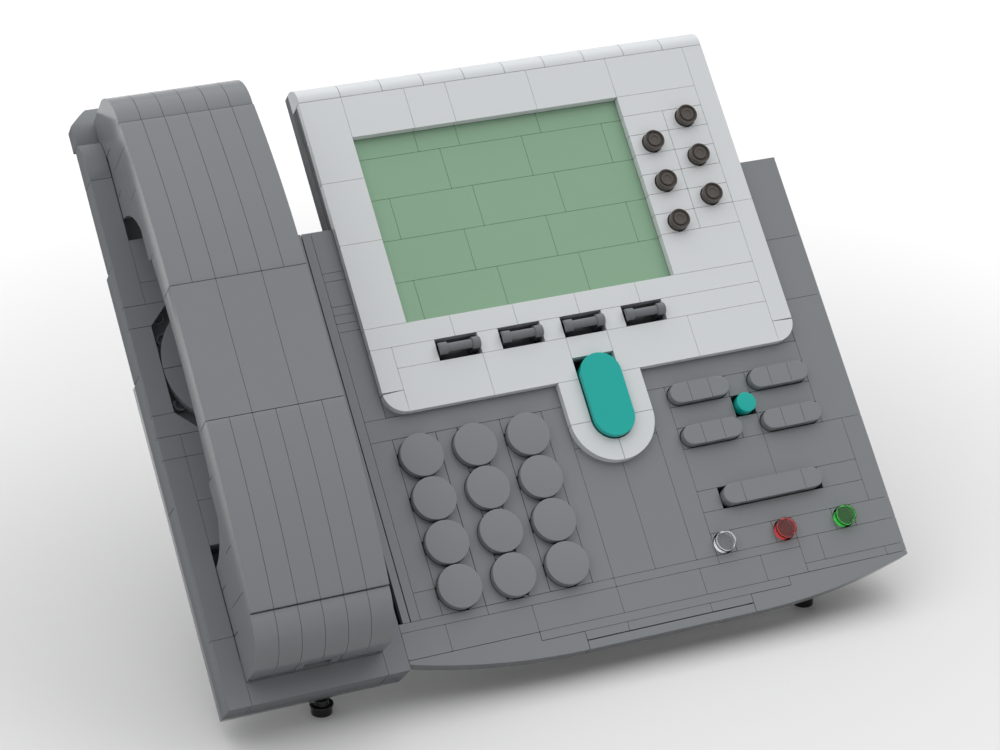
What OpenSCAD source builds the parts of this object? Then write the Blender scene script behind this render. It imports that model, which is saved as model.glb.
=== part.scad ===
// Desk telephone built of interlocking plastic bricks, plates and tiles.
// The sloping face has its own axes. u runs to the right and v runs down the slope, both counted in studs
// of the brick grid. z stands out of the face in millimetres, and the deck's surface is at zero.
// The origin is the middle of the footprint on the desk: X to the right, Y to the back, Z up.

/* [Brick grid] */
// Pitch of the studs
stud = 8; // [7.8:0.1:8.2]
// Height of one plate or tile
plate = 3.2; // [3.1:0.1:3.4]
// Clearance left on every side of a piece
seam = 0.1; // [0.06:0.02:0.14]
// Diameter of a stud
stud_d = 4.8; // [4.6:0.1:5]
// Height of a stud
stud_h = 1.7; // [1.5:0.1:1.9]

/* [Stance] */
// Slope of the face from level, in degrees
tilt = 45; // [42:1:48]
// Diameter of a foot's lower cylinder
foot_d = 7.4; // [7:0.1:7.8]
// Diameter of a foot's flange
flange_d = 8.3; // [8:0.1:9]
// Height of a foot's lower cylinder
foot_base_h = 3.1; // [2.5:0.1:3.5]
// Height of a foot's flange
flange_h = 0.5; // [0.4:0.1:0.8]
// Height of the stud on a foot
foot_stud_h = 1.7; // [1.5:0.1:1.9]
// Width of a foot's bracket
bracket_w = 7.8; // [6:0.2:7.8]

/* [Keys] */
// Travel of every key
key_travel = 1.2; // [0.6:0.1:1.3]
// Gap around a moving key
key_gap = 0.25; // [0.22:0.01:0.28]
// Margin between a keypad key's edge and its cell of two by two studs
keypad_inset = 0.2; // [0.2:0.1:0.6]
// Margin of the pill keys, the volume bar, the oval key and the small round keys
narrow_inset = 0.3; // [0.3:0.1:0.5]
// Margin of a line key beside the screen
line_inset = 0.2; // [0.2:0.1:0.5]
// Height of the oval key above the deck
oval_rise = 6; // [5:0.5:7]
// Diameter of a key's stem
stem_d = 4.8; // [4:0.2:5]
// Diameter of the collar that keeps a key in
collar_d = 7; // [6.4:0.2:7.4]
// Height of that collar
collar_h = 1.3; // [1:0.1:1.3]
// Diameter of a soft key's bar
bar_d = 3.2; // [2.6:0.1:3.4]
// Height of that bar's axis above the deck
bar_rise = 4; // [3.8:0.1:4.4]
// Diameter of the round lugs at the bar's ends
lug_d = 4.4; // [4:0.1:5]
// Length of each lug along the bar
lug_l = 3; // [2:0.2:4]

/* [Display] */
// Depth of the display housing behind the deck's surface
housing_depth = 10.8; // [10:0.2:11.4]
// Length of the rounding along the display's top edge
brow_l = 6.8; // [6:0.2:7.6]
// Height of that rounding
brow_h = 9.2; // [8.4:0.2:9.4]

/* [Handset] */
// Clearance under the resting handset
rest_gap = 0.3; // [0.2:0.05:0.4]
// Radius of the arched strips on the handset's back
arch_r = 260; // [240:5:300]
// How far those strips stand above the rounded ends
overhang = 0.8; // [0.4:0.1:1.2]
// Length of the rounding at each end
cap_l = 16; // [14:0.5:16]
// Height of that rounding
cap_h = 16.8; // [15:0.2:17.6]
// How far the ear end dips below the cradle's surface
ear_dip = 5.4; // [4.8:0.1:5.6]
// Height of the finger opening at its middle
finger_h = 25; // [24:0.5:25.4]
// Fall of its ceiling from the middle to the step on either side
finger_sag = 3; // [2:0.2:4]
// Height of the finger opening past that step
finger_end_h = 18.8; // [17:0.2:19.4]
// Radius of its curved ends
finger_r = 24; // [23:0.5:25]
// Depth of those curves' middles below the deck's surface
finger_drop = 2; // [1:0.2:3]
// Diameter of the ear capsule and of the mouth capsule
capsule_d = 19; // [16:0.5:20]
// How far the capsules stand out of the handset's underside
capsule_h = 3.6; // [3:0.2:4.4]
// Width of the cord socket
socket_w = 9.6; // [8:0.2:10]
// Height of the cord socket
socket_h = 6.1; // [5:0.1:6.2]
// Depth of the cord socket
socket_l = 12; // [8:0.5:14]

/* [Cradle] */
// Gap around the split round cover in the cradle
disc_gap = 0.2; // [0.2:0.1:1]
// Drop from the deck's surface to the cradle's lowered top end
end_drop = 6; // [5.8:0.1:6.2]
// Radius of the rounded slope pieces at that end
end_slope_r = 13.2; // [12.8:0.2:14]
// Height of the rounding on the side pieces ahead of them
step_slope_h = 6; // [5:0.2:6]
// Length of that rounding
step_slope_l = 13; // [11:0.5:15]

/* [Front] */
// Radius of the curved front edge, in studs
lip_r = 31; // [28:1:36]
// Reach of the front edge down the slope, in studs
lip_v = 10.83; // [10.7:0.01:11]

/* [Hidden] */
$fn = 64;
ARC_STEPS = 16;
KEY_COLUMNS = [1, 3.5, 6];
KEY_ROWS = [1, 3, 5, 7];
KEYPAD_AT = [for (v = KEY_ROWS, u = KEY_COLUMNS) [u, v]];
PILL_AT = [[14.5, 0.5], [18.5, 0.5], [14.5, 2.5], [18.5, 2.5]];
PILL_STUDS = 3;
BAR_AT = [16.5, 5.5];
BAR_STUDS = 5;
ROUND_AT = [16.5, 1.5];
OVAL_AT = [10, 0];
OVAL_STUDS = [2, 4];
LAMP_AT = [[13.5, 7.5], [16.5, 7.5], [19.5, 7.5]];
LINE_AT = [[18, -12.5], [16, -11.5], [18, -10.5], [16, -9.5], [18, -8.5], [16, -7.5]];
SOFT_AT = [for (u = [4, 7, 10, 13]) [u, -3.5]];
SOFT_STUDS = [2, 1];

// Outer edges of the deck, the display and the cradle, in studs
DECK_LEFT = -1.8;
DECK_RIGHT = 22;
DECK_TOP = -10;
DECK_FRONT = 8;
STRIP_FRONT = 9.6;
WALL_FRONT = 9;
DISPLAY_RIGHT = 20;
DISPLAY_TOP = -17;
BEZEL_TOP = -16;
BEZEL_FRONT = -1;
WINDOW = [2, -14, 15, -5];
CRADLE_LEFT = -10;
CRADLE_RIGHT = -2;
CRADLE_TOP = -18;
CRADLE_FRONT = 10;
RIM = 1;
// The cradle's rim starts, its side pieces step down, and its floor steps, at these values of v
RIM_TOP = -14;
SIDE_STEP = -16;
FLOOR_STEP = -5;
// The deck's front edge is straight over this width about its middle
WING_U = 8;
CENTRE_U = 10;
// Front end of the middle strips, at the gap before the curved edge
TIP_V = 10.4;

// Levels in plates, counted from the deck's surface
TILE = [-1, 0];
PLATE = [-2, -1];
WALL = [-4, -2];
BASE = [-5, -4];
RAISED = [0, 1];

// Handset, in studs: the middle of its length, half the grip panels, half of the finger opening's
// ceiling, half the strips and half of the whole
HANDSET = [-9, -3];
HANDSET_MID = (HANDSET[0] + HANDSET[1]) / 2;
GRIP_MID = -4;
GRIP_HALF = 3;
CEILING_HALF = 5;
STRIP_HALF = 11;
HALF_LENGTH = STRIP_HALF + cap_l / stud;
GRIP_TOP = 11 * plate + rest_gap;
STRIP_BOTTOM = 8 * plate + rest_gap;
CAP_TOP = GRIP_TOP - arch_drop(STRIP_HALF) - overhang;
CAP_MID = CAP_TOP - cap_h;

CAPSULE_MARGIN = 1.5;
CAPSULE_AT = [for (side = [-1, 1]) [HANDSET_MID, GRIP_MID + side * (STRIP_HALF - CAPSULE_MARGIN)]];
CAPSULE_IN = 2 * plate;
CAPSULE_RING = 5;
CAPSULE_HOLE = 1.6;

// Round cover in the cradle: its middle, and the opening around it
DISC_AT = [-6, -5];
DISC_AREA = [-9, -8, -3, -2];
COVER_BASE = [-3, -2];
HUB_D = 3 * stud;
STUD_WALL = 0.8;

CRADLE_H = 5 * plate;
END_FLAT = 16.6 * stud;
SOFT_TOP = 2.2;
KNOB_GROOVE = [4.2, 5.4];
KNOB_HOLLOW = 2.6;
KNOB_DEEP = 1;
SLOPE_BOTTOM = -4 * plate;
CORNER_CUT = stud * sqrt(2);

// The face's own origin, placed so that the footprint's middle lies at the origin
foot_h = foot_base_h + flange_h + foot_stud_h;
front_reach = (GRIP_MID + STRIP_HALF) * stud * cos(tilt) + CAP_MID * sin(tilt)
    + norm([cap_l * cos(tilt), cap_h * sin(tilt)]);
back_reach = (-CRADLE_TOP * stud - seam) * cos(tilt) - SLOPE_BOTTOM * sin(tilt);
FACE_X = -(CRADLE_LEFT + DECK_RIGHT) / 2 * stud;
FACE_Y = (front_reach - back_reach) / 2;
FACE_Z = foot_h + CRADLE_FRONT * stud * sin(tilt) + CRADLE_H * cos(tilt);

// Feet and rear legs: their places along u, and their distance behind the face's origin, in studs
FOOT_U = [-5.5, 17.5];
LEG_U = [0, 14];
FOOT_BACK = -5.57;
LEG_BACK = 6;
LEG_STUDS = 2;
BRICK_H = 3 * plate;
FAR = 400;

// A pressed key's cap stops this far above its guide plate
KEY_FLOOR = 0.2;
cap_sink = plate - key_travel - KEY_FLOOR;
keypad_d = 2 * (stud - keypad_inset);
narrow_w = stud - 2 * narrow_inset;
line_d = stud - 2 * line_inset;

deck_grey = [0.43, 0.45, 0.47];
bezel_grey = [0.74, 0.75, 0.76];
screen_green = [0.49, 0.63, 0.52];
teal = [0.2, 0.64, 0.6];
key_brown = [0.28, 0.26, 0.24];
soft_grey = [0.5, 0.51, 0.52];
lamp_colours = [[0.75, 0.77, 0.78], [0.6, 0.15, 0.15], [0.12, 0.5, 0.15]];
inner_black = [0.08, 0.08, 0.08];

// Height of the deck's underside above the desk, at a distance behind the face's origin
function under_deck(back) =
    FACE_Z - CRADLE_H * cos(tilt) + (back - CRADLE_H * sin(tilt)) * tan(tilt);

// Fall of the arched strips at a distance from the grip's middle, in studs
function arch_drop(d) =
    let (x = max(d - GRIP_HALF, 0) * stud)
    arch_r - sqrt(arch_r * arch_r - x * x);

// Points of an elliptic arc about (x, y) between two angles
function arc(x, y, a, b, from, to) =
    [for (i = [0:ARC_STEPS]) let (t = from + (to - from) * i / ARC_STEPS) [x + a * cos(t), y + b * sin(t)]];

// Brings what is drawn on the face into its place above the desk
module on_face() translate([FACE_X, FACE_Y, FACE_Z]) rotate([tilt, 0, 0]) children();

// Box on the face between two millimetre levels, shrunk by gap at its four sides
module block(area, low, high, gap = seam)
    translate([area[0] * stud + gap, -area[3] * stud + gap, low])
        cube([(area[2] - area[0]) * stud - 2 * gap, (area[3] - area[1]) * stud - 2 * gap, high - low]);

// The same between two levels counted in plates
module piece(area, level, gap = seam) block(area, level[0] * plate, level[1] * plate, gap);

// A row of pieces along u, and a column of pieces along v
module row(cuts, v0, v1, level)
    for (i = [0:len(cuts) - 2]) piece([cuts[i], v0, cuts[i + 1], v1], level);
module column(cuts, u0, u1, level)
    for (i = [0:len(cuts) - 2]) piece([u0, cuts[i], u1, cuts[i + 1]], level);

// Upright cylinder at a point of the face
module post(at, d, low, high) translate([at[0] * stud, -at[1] * stud, low]) cylinder(d = d, h = high - low);

// Pill of a width and length along u, standing at a point of the face
module pill(at, length, width, low, high, turn = 0)
    translate([at[0] * stud, -at[1] * stud, low])
        rotate(turn) linear_extrude(high - low)
            union() {
                square([length - width, width], center = true);
                for (side = [-1, 1]) translate([side * (length - width) / 2, 0]) circle(d = width);
            }

// Solid of a side outline, given as [distance down the slope, z], between two values of u
module along_u(u0, u1, gap = seam)
    translate([u0 * stud + gap, 0, 0])
        rotate([90, 0, 90]) linear_extrude((u1 - u0) * stud - 2 * gap) children();

// Key: the cap that is given, a stem through its guide plate and the collar under that plate
module key(at, guide) {
    top = guide[1] * plate;
    low = guide[0] * plate - key_gap;
    children();
    post(at, stem_d, low - collar_h, top + plate - cap_sink + key_gap);
    post(at, collar_d, low - collar_h, low);
}
module stem_holes(places, guide)
    for (at = places) post(at, stem_d + 2 * key_gap, guide[0] * plate - key_gap, guide[1] * plate + key_gap);

module keypad_wells()
    for (at = KEYPAD_AT) post(at, keypad_d + 2 * key_gap, -plate - key_gap, plate);
module pill_wells()
    for (at = PILL_AT) pill(at, PILL_STUDS * stud - seam, narrow_w + 2 * key_gap, -plate - key_gap, plate);

// Opening for the oval key: straight sides, and a round end towards the tongue
module oval_opening(low, high) {
    half = OVAL_STUDS[0] / 2;
    area = [OVAL_AT[0] - half, OVAL_AT[1] - OVAL_STUDS[1] / 2, OVAL_AT[0] + half, OVAL_AT[1] + half];
    block(area, low, high, 0);
    post([OVAL_AT[0], OVAL_AT[1] + half], OVAL_STUDS[0] * stud, low, high);
}
module soft_slots(level)
    for (at = SOFT_AT)
        piece([at[0] - SOFT_STUDS[0] / 2, at[1] - SOFT_STUDS[1] / 2,
               at[0] + SOFT_STUDS[0] / 2, at[1] + SOFT_STUDS[1] / 2], level, 0);

module deck_tiles() color(deck_grey) on_face() {
    column([DECK_TOP, -8, -7.6, -6.4, -6, -5.6, -5.2, -1], -1, 0, TILE);
    column([0, 6.8, DECK_FRONT], -1, 0, TILE);
    column([DECK_TOP, -6, -3, 3], DISPLAY_RIGHT, DECK_RIGHT, TILE);
    row([-1, 8], BEZEL_FRONT, 0, TILE);
    row([12, DISPLAY_RIGHT], BEZEL_FRONT, 0, TILE);
    difference() {
        row([0, 2, 3, 4, 5, 7, 8], 0, DECK_FRONT, TILE);
        keypad_wells();
    }
    difference() {
        union() {
            piece([8, BEZEL_FRONT, 12, 2], TILE);
            row([8, 10, 12], 2, DECK_FRONT, TILE);
        }
        oval_opening(-plate - key_gap, plate);
    }
    piece([12, 0, 13, DECK_FRONT], TILE);
    difference() {
        union() {
            row([13, 16, 17, DISPLAY_RIGHT], 0, 1, TILE);
            row([13, 16, 17, DISPLAY_RIGHT], 2, 3, TILE);
        }
        pill_wells();
    }
    piece([13, 1, 16, 2], TILE);
    piece([17, 1, DISPLAY_RIGHT, 2], TILE);
    row([13, 17, 21], 3, 5, TILE);
    piece([21, 3, DECK_RIGHT, 7], TILE);
    for (v = [5, 6]) {
        piece([13, v, 14, v + 1], TILE);
        piece([19, v, 21, v + 1], TILE);
    }
    piece([14, 6, 19, 7], TILE);
    piece([14, 7, 16, DECK_FRONT], TILE);
    piece([17, 7, 19, DECK_FRONT], TILE);
    piece([20, 7, DECK_RIGHT, DECK_FRONT], TILE);
}

module deck_edge_strips() color(deck_grey) on_face() {
    piece([DECK_LEFT, DECK_TOP, -1.43, DECK_FRONT], TILE);
    piece([-1.43, DECK_TOP, -1, DECK_FRONT], TILE);
    row([CRADLE_RIGHT, 2, 8, 13, 17], DECK_FRONT, 8.4, TILE);
    row([CRADLE_RIGHT, 0, 4, 8, 12, 15, 17], 8.4, STRIP_FRONT, TILE);
    row([17, 18, DECK_RIGHT], DECK_FRONT, 9.2, TILE);
    row([17, 21, DECK_RIGHT], 9.2, STRIP_FRONT, TILE);
    piece([4, STRIP_FRONT, 16, 10], TILE);
    row([CENTRE_U - WING_U / 2, 8, 12, CENTRE_U + WING_U / 2], 10, TIP_V, TILE);
}

// Outline of the front edge: a straight middle between two arcs, with the stepped strips left out
module lip_half() intersection() {
    difference() {
        block([CENTRE_U - WING_U / 2 - WING_U, STRIP_FRONT, CENTRE_U - WING_U / 2, lip_v], -2 * plate, 0);
        block([4, STRIP_FRONT, CENTRE_U, 10], -2 * plate, 0, -seam);
    }
    translate([(CENTRE_U - WING_U / 2) * stud, (lip_r - lip_v) * stud, -2 * plate])
        cylinder(r = lip_r * stud - seam, h = 2 * plate, $fn = 256);
}
module front_lip() color(deck_grey) on_face() {
    lip_half();
    translate([2 * CENTRE_U * stud, 0, 0]) mirror([1, 0, 0]) lip_half();
    block([CENTRE_U - WING_U / 2, TIP_V, CENTRE_U + WING_U / 2, lip_v], -2 * plate, 0);
}

module deck_plates() color(inner_black) on_face() {
    piece([DECK_LEFT, DECK_TOP, 0, DECK_FRONT], PLATE);
    piece([DISPLAY_RIGHT, DECK_TOP, DECK_RIGHT, DECK_FRONT], PLATE);
    difference() {
        piece([0, BEZEL_FRONT, 8, DECK_FRONT], PLATE);
        stem_holes(KEYPAD_AT, PLATE);
    }
    difference() {
        piece([8, BEZEL_FRONT, 13, DECK_FRONT], PLATE);
        stem_holes([OVAL_AT], PLATE);
    }
    difference() {
        piece([13, BEZEL_FRONT, DISPLAY_RIGHT, DECK_FRONT], PLATE);
        stem_holes(concat(PILL_AT, LAMP_AT, [BAR_AT, ROUND_AT]), PLATE);
    }
    piece([CRADLE_RIGHT, DECK_FRONT, DECK_RIGHT, STRIP_FRONT], PLATE);
    piece([4, STRIP_FRONT, 16, 10], PLATE);
    piece([CENTRE_U - WING_U / 2, 10, CENTRE_U + WING_U / 2, TIP_V], PLATE);
}

module deck_walls() color(deck_grey) on_face() {
    piece([DECK_LEFT, DECK_TOP + RIM, DECK_LEFT + RIM, DECK_FRONT], WALL);
    piece([DECK_RIGHT - RIM, DECK_TOP + RIM, DECK_RIGHT, DECK_FRONT], WALL);
    piece([DECK_LEFT, DECK_TOP, DECK_RIGHT, DECK_TOP + RIM], WALL);
    piece([DECK_LEFT, DECK_FRONT, DECK_RIGHT, WALL_FRONT], WALL);
}

// Bottom plate under the deck, and the two long plates that tie the cradle to it
module base_plate() color(deck_grey) on_face() {
    piece([DECK_LEFT, DECK_TOP, DECK_RIGHT, WALL_FRONT], BASE);
    under = BASE[0] * plate - seam;
    for (v = [-4, 4]) block([-8, v, 4, v + 2], under - plate, under);
}

module display_housing() color(deck_grey) on_face() {
    low = -housing_depth;
    high = PLATE[0] * plate;
    for (u = [0, DISPLAY_RIGHT - RIM]) block([u, DISPLAY_TOP, u + RIM, DECK_TOP], low, high);
    block([RIM, DISPLAY_TOP, DISPLAY_RIGHT - RIM, DISPLAY_TOP + RIM], low, high);
    block([RIM, DISPLAY_TOP + RIM, DISPLAY_RIGHT - RIM, DECK_TOP], low, low + plate);
}

// Plates around the screen, under the bezel
module display_rim() color(deck_grey) on_face() {
    column([BEZEL_TOP, -13, WINDOW[3], BEZEL_FRONT], 0, WINDOW[0], TILE);
    piece([WINDOW[0], BEZEL_TOP, DISPLAY_RIGHT, WINDOW[1]], TILE);
    difference() {
        piece([WINDOW[2], WINDOW[1], DISPLAY_RIGHT, WINDOW[3]], TILE);
        stem_holes(LINE_AT, TILE);
    }
    difference() {
        piece([WINDOW[0], WINDOW[3], DISPLAY_RIGHT, BEZEL_FRONT], TILE);
        soft_slots([-2, 1]);
        oval_opening(-2 * plate, plate);
    }
}

// Plates under the screen and its rim
module display_tray() color(inner_black) on_face() {
    difference() {
        piece([0, BEZEL_TOP, WINDOW[2], BEZEL_FRONT], PLATE);
        soft_slots([-3, 0]);
    }
    difference() {
        piece([WINDOW[2], BEZEL_TOP, DISPLAY_RIGHT, BEZEL_FRONT], PLATE);
        for (at = LINE_AT) post(at, collar_d + 2 * key_gap, -3 * plate, 0);
    }
}

module bezel_corner(mid, cell) intersection() {
    post(mid, 2 * stud - 2 * seam, 0, plate);
    piece(cell, RAISED);
}
module bezel_tiles() color(bezel_grey) on_face() {
    column([BEZEL_TOP, -12, -9, -5], 0, 2, RAISED);
    row([2, 5, 7, 11, 15, 19], BEZEL_TOP, -14, RAISED);
    column([BEZEL_TOP, -8, -2], 19, DISPLAY_RIGHT, RAISED);
    piece([15, -14, 19, -13], RAISED);
    difference() {
        for (v = [-13:-8]) row([15, 17, 19], v, v + 1, RAISED);
        for (at = LINE_AT) post(at, line_d + 2 * key_gap, -plate, 2 * plate);
    }
    piece([15, -7, 19, -5], RAISED);
    row([0, 4, 7, 10, 13, 19], -5, -4, RAISED);
    piece([0, -4, 1, -2], RAISED);
    for (cell = [[1, 3], [5, 6], [8, 9], [11, 12], [14, 19]])
        piece([cell[0], -4, cell[1], -3], RAISED);
    row([1, 5, 9], -3, BEZEL_FRONT, RAISED);
    row([11, 15, 19], -3, BEZEL_FRONT, RAISED);
    piece([9, -3, 11, -2], RAISED);
    bezel_corner([1, -2], [0, -2, 1, BEZEL_FRONT]);
    bezel_corner([19, -2], [19, -2, DISPLAY_RIGHT, BEZEL_FRONT]);
}

// Ten curved pieces that round off the display's top edge
module bezel_brow() color(bezel_grey) on_face() {
    inner = -BEZEL_TOP * stud + seam;
    outer = -DISPLAY_TOP * stud - seam;
    low = PLATE[0] * plate;
    curve = arc(outer - brow_l, plate - brow_h, brow_l, brow_h, 0, 90);
    for (u = [0:2:DISPLAY_RIGHT - 2])
        along_u(u, u + 2) polygon(concat([[inner, low], [outer, low]], curve, [[inner, plate]]));
}

module screen_tiles() color(screen_green) on_face() {
    row([2, 5, 7, 11, 15], -14, -13, TILE);
    for (v = [-13, -9]) row([2, 6, 10, 14, 15], v, v + 2, TILE);
    for (v = [-11, -7]) row([2, 3, 7, 11, 15], v, v + 2, TILE);
}

module tongue_tiles() color(bezel_grey) on_face() {
    for (u = [8, 11]) piece([u, BEZEL_FRONT, u + 1, 1], RAISED);
    difference() {
        intersection() {
            post([10, 1], 4 * stud - 2 * seam, 0, plate);
            row([8, 10, 12], 1, 3, RAISED);
        }
        post([10, 1], 2 * stud, -plate, 2 * plate);
    }
}

// Low walls of the cradle, stepped as its underside steps, and the ribs between them
module cradle_walls() color(deck_grey) on_face() {
    for (u = [CRADLE_LEFT, CRADLE_RIGHT - RIM]) {
        piece([u, SIDE_STEP, u + RIM, RIM_TOP], [-3, -2]);
        piece([u, RIM_TOP, u + RIM, DECK_TOP], [-3, -1]);
        piece([u, DECK_TOP, u + RIM, FLOOR_STEP], [-4, -1]);
        piece([u, FLOOR_STEP, u + RIM, 1], [-4, -1]);
        piece([u, 1, u + RIM, CRADLE_FRONT], [-4, -1]);
    }
    piece([HANDSET[0], CRADLE_FRONT - RIM, HANDSET[1], CRADLE_FRONT], [-4, -1]);
    piece([HANDSET[0], DECK_TOP, HANDSET[1], DECK_TOP + RIM], COVER_BASE);
    for (v = [DISC_AREA[3], 2, 8]) piece([HANDSET[0], v, HANDSET[1], v + RIM], WALL);
}

module cradle_floor() color(deck_grey) on_face() {
    piece([HANDSET[0], SIDE_STEP, HANDSET[1], DECK_TOP], [-3, -2]);
    piece([HANDSET[0], DECK_TOP, HANDSET[1], FLOOR_STEP], [-4, -3]);
    piece([CRADLE_LEFT, FLOOR_STEP, CRADLE_RIGHT, CRADLE_FRONT], BASE);
}

// Tiles of the cradle's rim and floor, with an eight-sided opening around the round cover
module cradle_tiles() color(deck_grey) on_face() {
    column([RIM_TOP, -8, -7, -3, -2, -1, 7, CRADLE_FRONT], CRADLE_LEFT, HANDSET[0], TILE);
    column([RIM_TOP, -6, 2, CRADLE_FRONT], HANDSET[1], CRADLE_RIGHT, TILE);
    column([-11, -9, DISC_AREA[1]], HANDSET[0], HANDSET[1], TILE);
    column([DISC_AREA[3], -1, 1, 3], HANDSET[0], HANDSET[1], TILE);
    piece([HANDSET[0], 8, HANDSET[1], CRADLE_FRONT - RIM], TILE);
    piece([HANDSET[0], CRADLE_FRONT - RIM, HANDSET[1], CRADLE_FRONT], TILE);
    for (u = [HANDSET[0], HANDSET[1]], v = [DISC_AREA[1], DISC_AREA[3]])
        translate([u * stud, -v * stud, -plate]) disc_corner(sign(DISC_AT[0] - u), sign(v - DISC_AT[1]));
}

// Corner piece of one stud, cut at 45 degrees
module disc_corner(right, up)
    mirrored(right, up)
        linear_extrude(plate)
            polygon([[seam, seam], [stud - seam, seam], [seam, stud - seam]]);
module mirrored(right, up)
    mirror([right < 0 ? 1 : 0, 0, 0]) mirror([0, up < 0 ? 1 : 0, 0]) children();

// Rounded pieces where the cradle's top end falls away
module cradle_end_slopes() color(deck_grey) on_face() {
    for (u = [CRADLE_LEFT, CRADLE_RIGHT - RIM])
        along_u(u, u + RIM) step_outline();
    difference() {
        for (u = [CRADLE_LEFT:2:CRADLE_RIGHT - 2]) along_u(u, u + 2) end_outline();
        for (u = [CRADLE_LEFT, CRADLE_RIGHT])
            translate([u * stud, -CRADLE_TOP * stud, SLOPE_BOTTOM - plate])
                rotate(45) translate([-CORNER_CUT / 2, -CORNER_CUT / 2, 0])
                    cube([CORNER_CUT, CORNER_CUT, -SLOPE_BOTTOM + plate]);
    }
}
module step_outline() {
    inner = -RIM_TOP * stud + seam;
    outer = -SIDE_STEP * stud - seam;
    curve = arc(outer - step_slope_l, -step_slope_h, step_slope_l, step_slope_h, 0, 90);
    polygon(concat([[inner, -2 * plate], [outer, -2 * plate]], curve, [[inner, 0]]));
}
module end_outline() {
    inner = -SIDE_STEP * stud + seam;
    outer = -CRADLE_TOP * stud - seam;
    turn = asin(min(1, (outer - END_FLAT) / end_slope_r));
    curve = arc(END_FLAT, -end_drop - end_slope_r, end_slope_r, end_slope_r, 90 - turn, 90);
    polygon(concat([[inner, SLOPE_BOTTOM], [outer, SLOPE_BOTTOM]], curve, [[inner, -end_drop]]));
}

// Split round cover, as large as the opening
module cradle_disc() color(deck_grey) on_face()
    for (half = [0, 180])
        translate([DISC_AT[0] * stud, -DISC_AT[1] * stud, -plate])
            rotate(half) intersection() {
                cylinder(r = (HANDSET[1] - HANDSET[0]) / 2 * stud - disc_gap, h = plate);
                translate([-FAR / 2, seam, -plate]) cube([FAR, FAR, 3 * plate]);
            }

// Plates under the cradle's tiles; the middle one lies a plate lower, and carries the round hub of the
// split cover and the studs that show at the opening's corners
module cradle_studs() color(deck_grey) on_face() {
    piece([HANDSET[0], -11, HANDSET[1], DISC_AREA[1]], PLATE);
    piece([HANDSET[0], DISC_AREA[3], HANDSET[1], 3], PLATE);
    piece([HANDSET[0], 8, HANDSET[1], CRADLE_FRONT - RIM], PLATE);
    piece(DISC_AREA, COVER_BASE);
    post(DISC_AT, HUB_D, COVER_BASE[1] * plate + seam, -plate);
    for (side = [-1, 1], v = [1, 2, 5, 6])
        stud_ring([DISC_AT[0] + side * 2.5, DISC_AREA[1] + v - 0.5], COVER_BASE[1] * plate);
}
module stud_ring(at, low) difference() {
    post(at, stud_d, low - seam, low + stud_h);
    post(at, stud_d - 2 * STUD_WALL, low, low + 2 * stud_h);
}

module above_plane(z) on_face() translate([-FAR, -FAR, z]) cube([2 * FAR, 2 * FAR, FAR]);

// Upright column under a place on the face, from the feet's top to a height
module column_at(u, back, width, depth, low, high)
    translate([FACE_X + u * stud - width / 2, FACE_Y + back - depth / 2, low])
        cube([width, depth, high - low]);

// Brackets that carry the front feet: one under the cradle's front, one under the curved edge
module foot_brackets() color(deck_grey) {
    corner_back = -CRADLE_FRONT * stud * cos(tilt) + CRADLE_H * sin(tilt);
    end_back = FOOT_BACK * stud + flange_d / 2;
    middle_back = (corner_back + end_back) / 2;
    difference() {
        column_at(FOOT_U[0], middle_back, bracket_w, end_back - corner_back, foot_h, FAR / 4);
        above_plane(-CRADLE_H);
    }
    difference() {
        column_at(FOOT_U[1], FOOT_BACK * stud, bracket_w, stud, foot_h, FAR / 4);
        above_plane(PLATE[0] * plate);
        on_face() translate([-FAR, -WALL_FRONT * stud, -CRADLE_H]) cube([2 * FAR, FAR, FAR]);
    }
}

// One foot with its middle at a place given in studs along u and behind the face's origin
module foot(u, back) translate([FACE_X + u * stud, FACE_Y + back * stud, 0]) {
    cylinder(d = foot_d, h = foot_base_h);
    translate([0, 0, foot_base_h]) cylinder(d = flange_d, h = flange_h);
    translate([0, 0, foot_base_h + flange_h]) cylinder(d = stud_d, h = foot_stud_h);
}
module feet() color(inner_black) {
    for (u = FOOT_U) foot(u, FOOT_BACK);
    for (u = LEG_U) foot(u, LEG_BACK);
}

// Two legs of stacked bricks under the deck's back, tied by a long plate above their lowest bricks
module rear_stand() color(deck_grey) {
    width = LEG_STUDS * stud - 2 * seam;
    top = under_deck((LEG_BACK + LEG_STUDS / 2) * stud);
    tie = foot_h + BRICK_H;
    levels = ceil((top - tie - plate) / BRICK_H);
    for (u = LEG_U) {
        column_at(u, LEG_BACK * stud, width, width, foot_h, tie - seam);
        difference() {
            for (i = [0:levels - 1]) {
                low = tie + plate + i * BRICK_H;
                column_at(u, LEG_BACK * stud, width, width, low, low + BRICK_H - seam);
            }
            above_plane(-CRADLE_H);
        }
    }
    span = (LEG_U[1] - LEG_U[0] + LEG_STUDS) * stud - 2 * seam;
    column_at((LEG_U[0] + LEG_U[1]) / 2, LEG_BACK * stud, span, width, tie, tie + plate - seam);
}

// Outlines of the handset are drawn about the middle of its length
module handset_side(u0, u1, gap = seam)
    along_u(u0, u1, gap) translate([-GRIP_MID * stud, 0]) children();

module grip_tiles() color(deck_grey) on_face()
    for (u = [HANDSET[0]:2:HANDSET[1] - 2])
        block([u, GRIP_MID - GRIP_HALF, u + 2, GRIP_MID + GRIP_HALF], GRIP_TOP - plate, GRIP_TOP);

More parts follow.
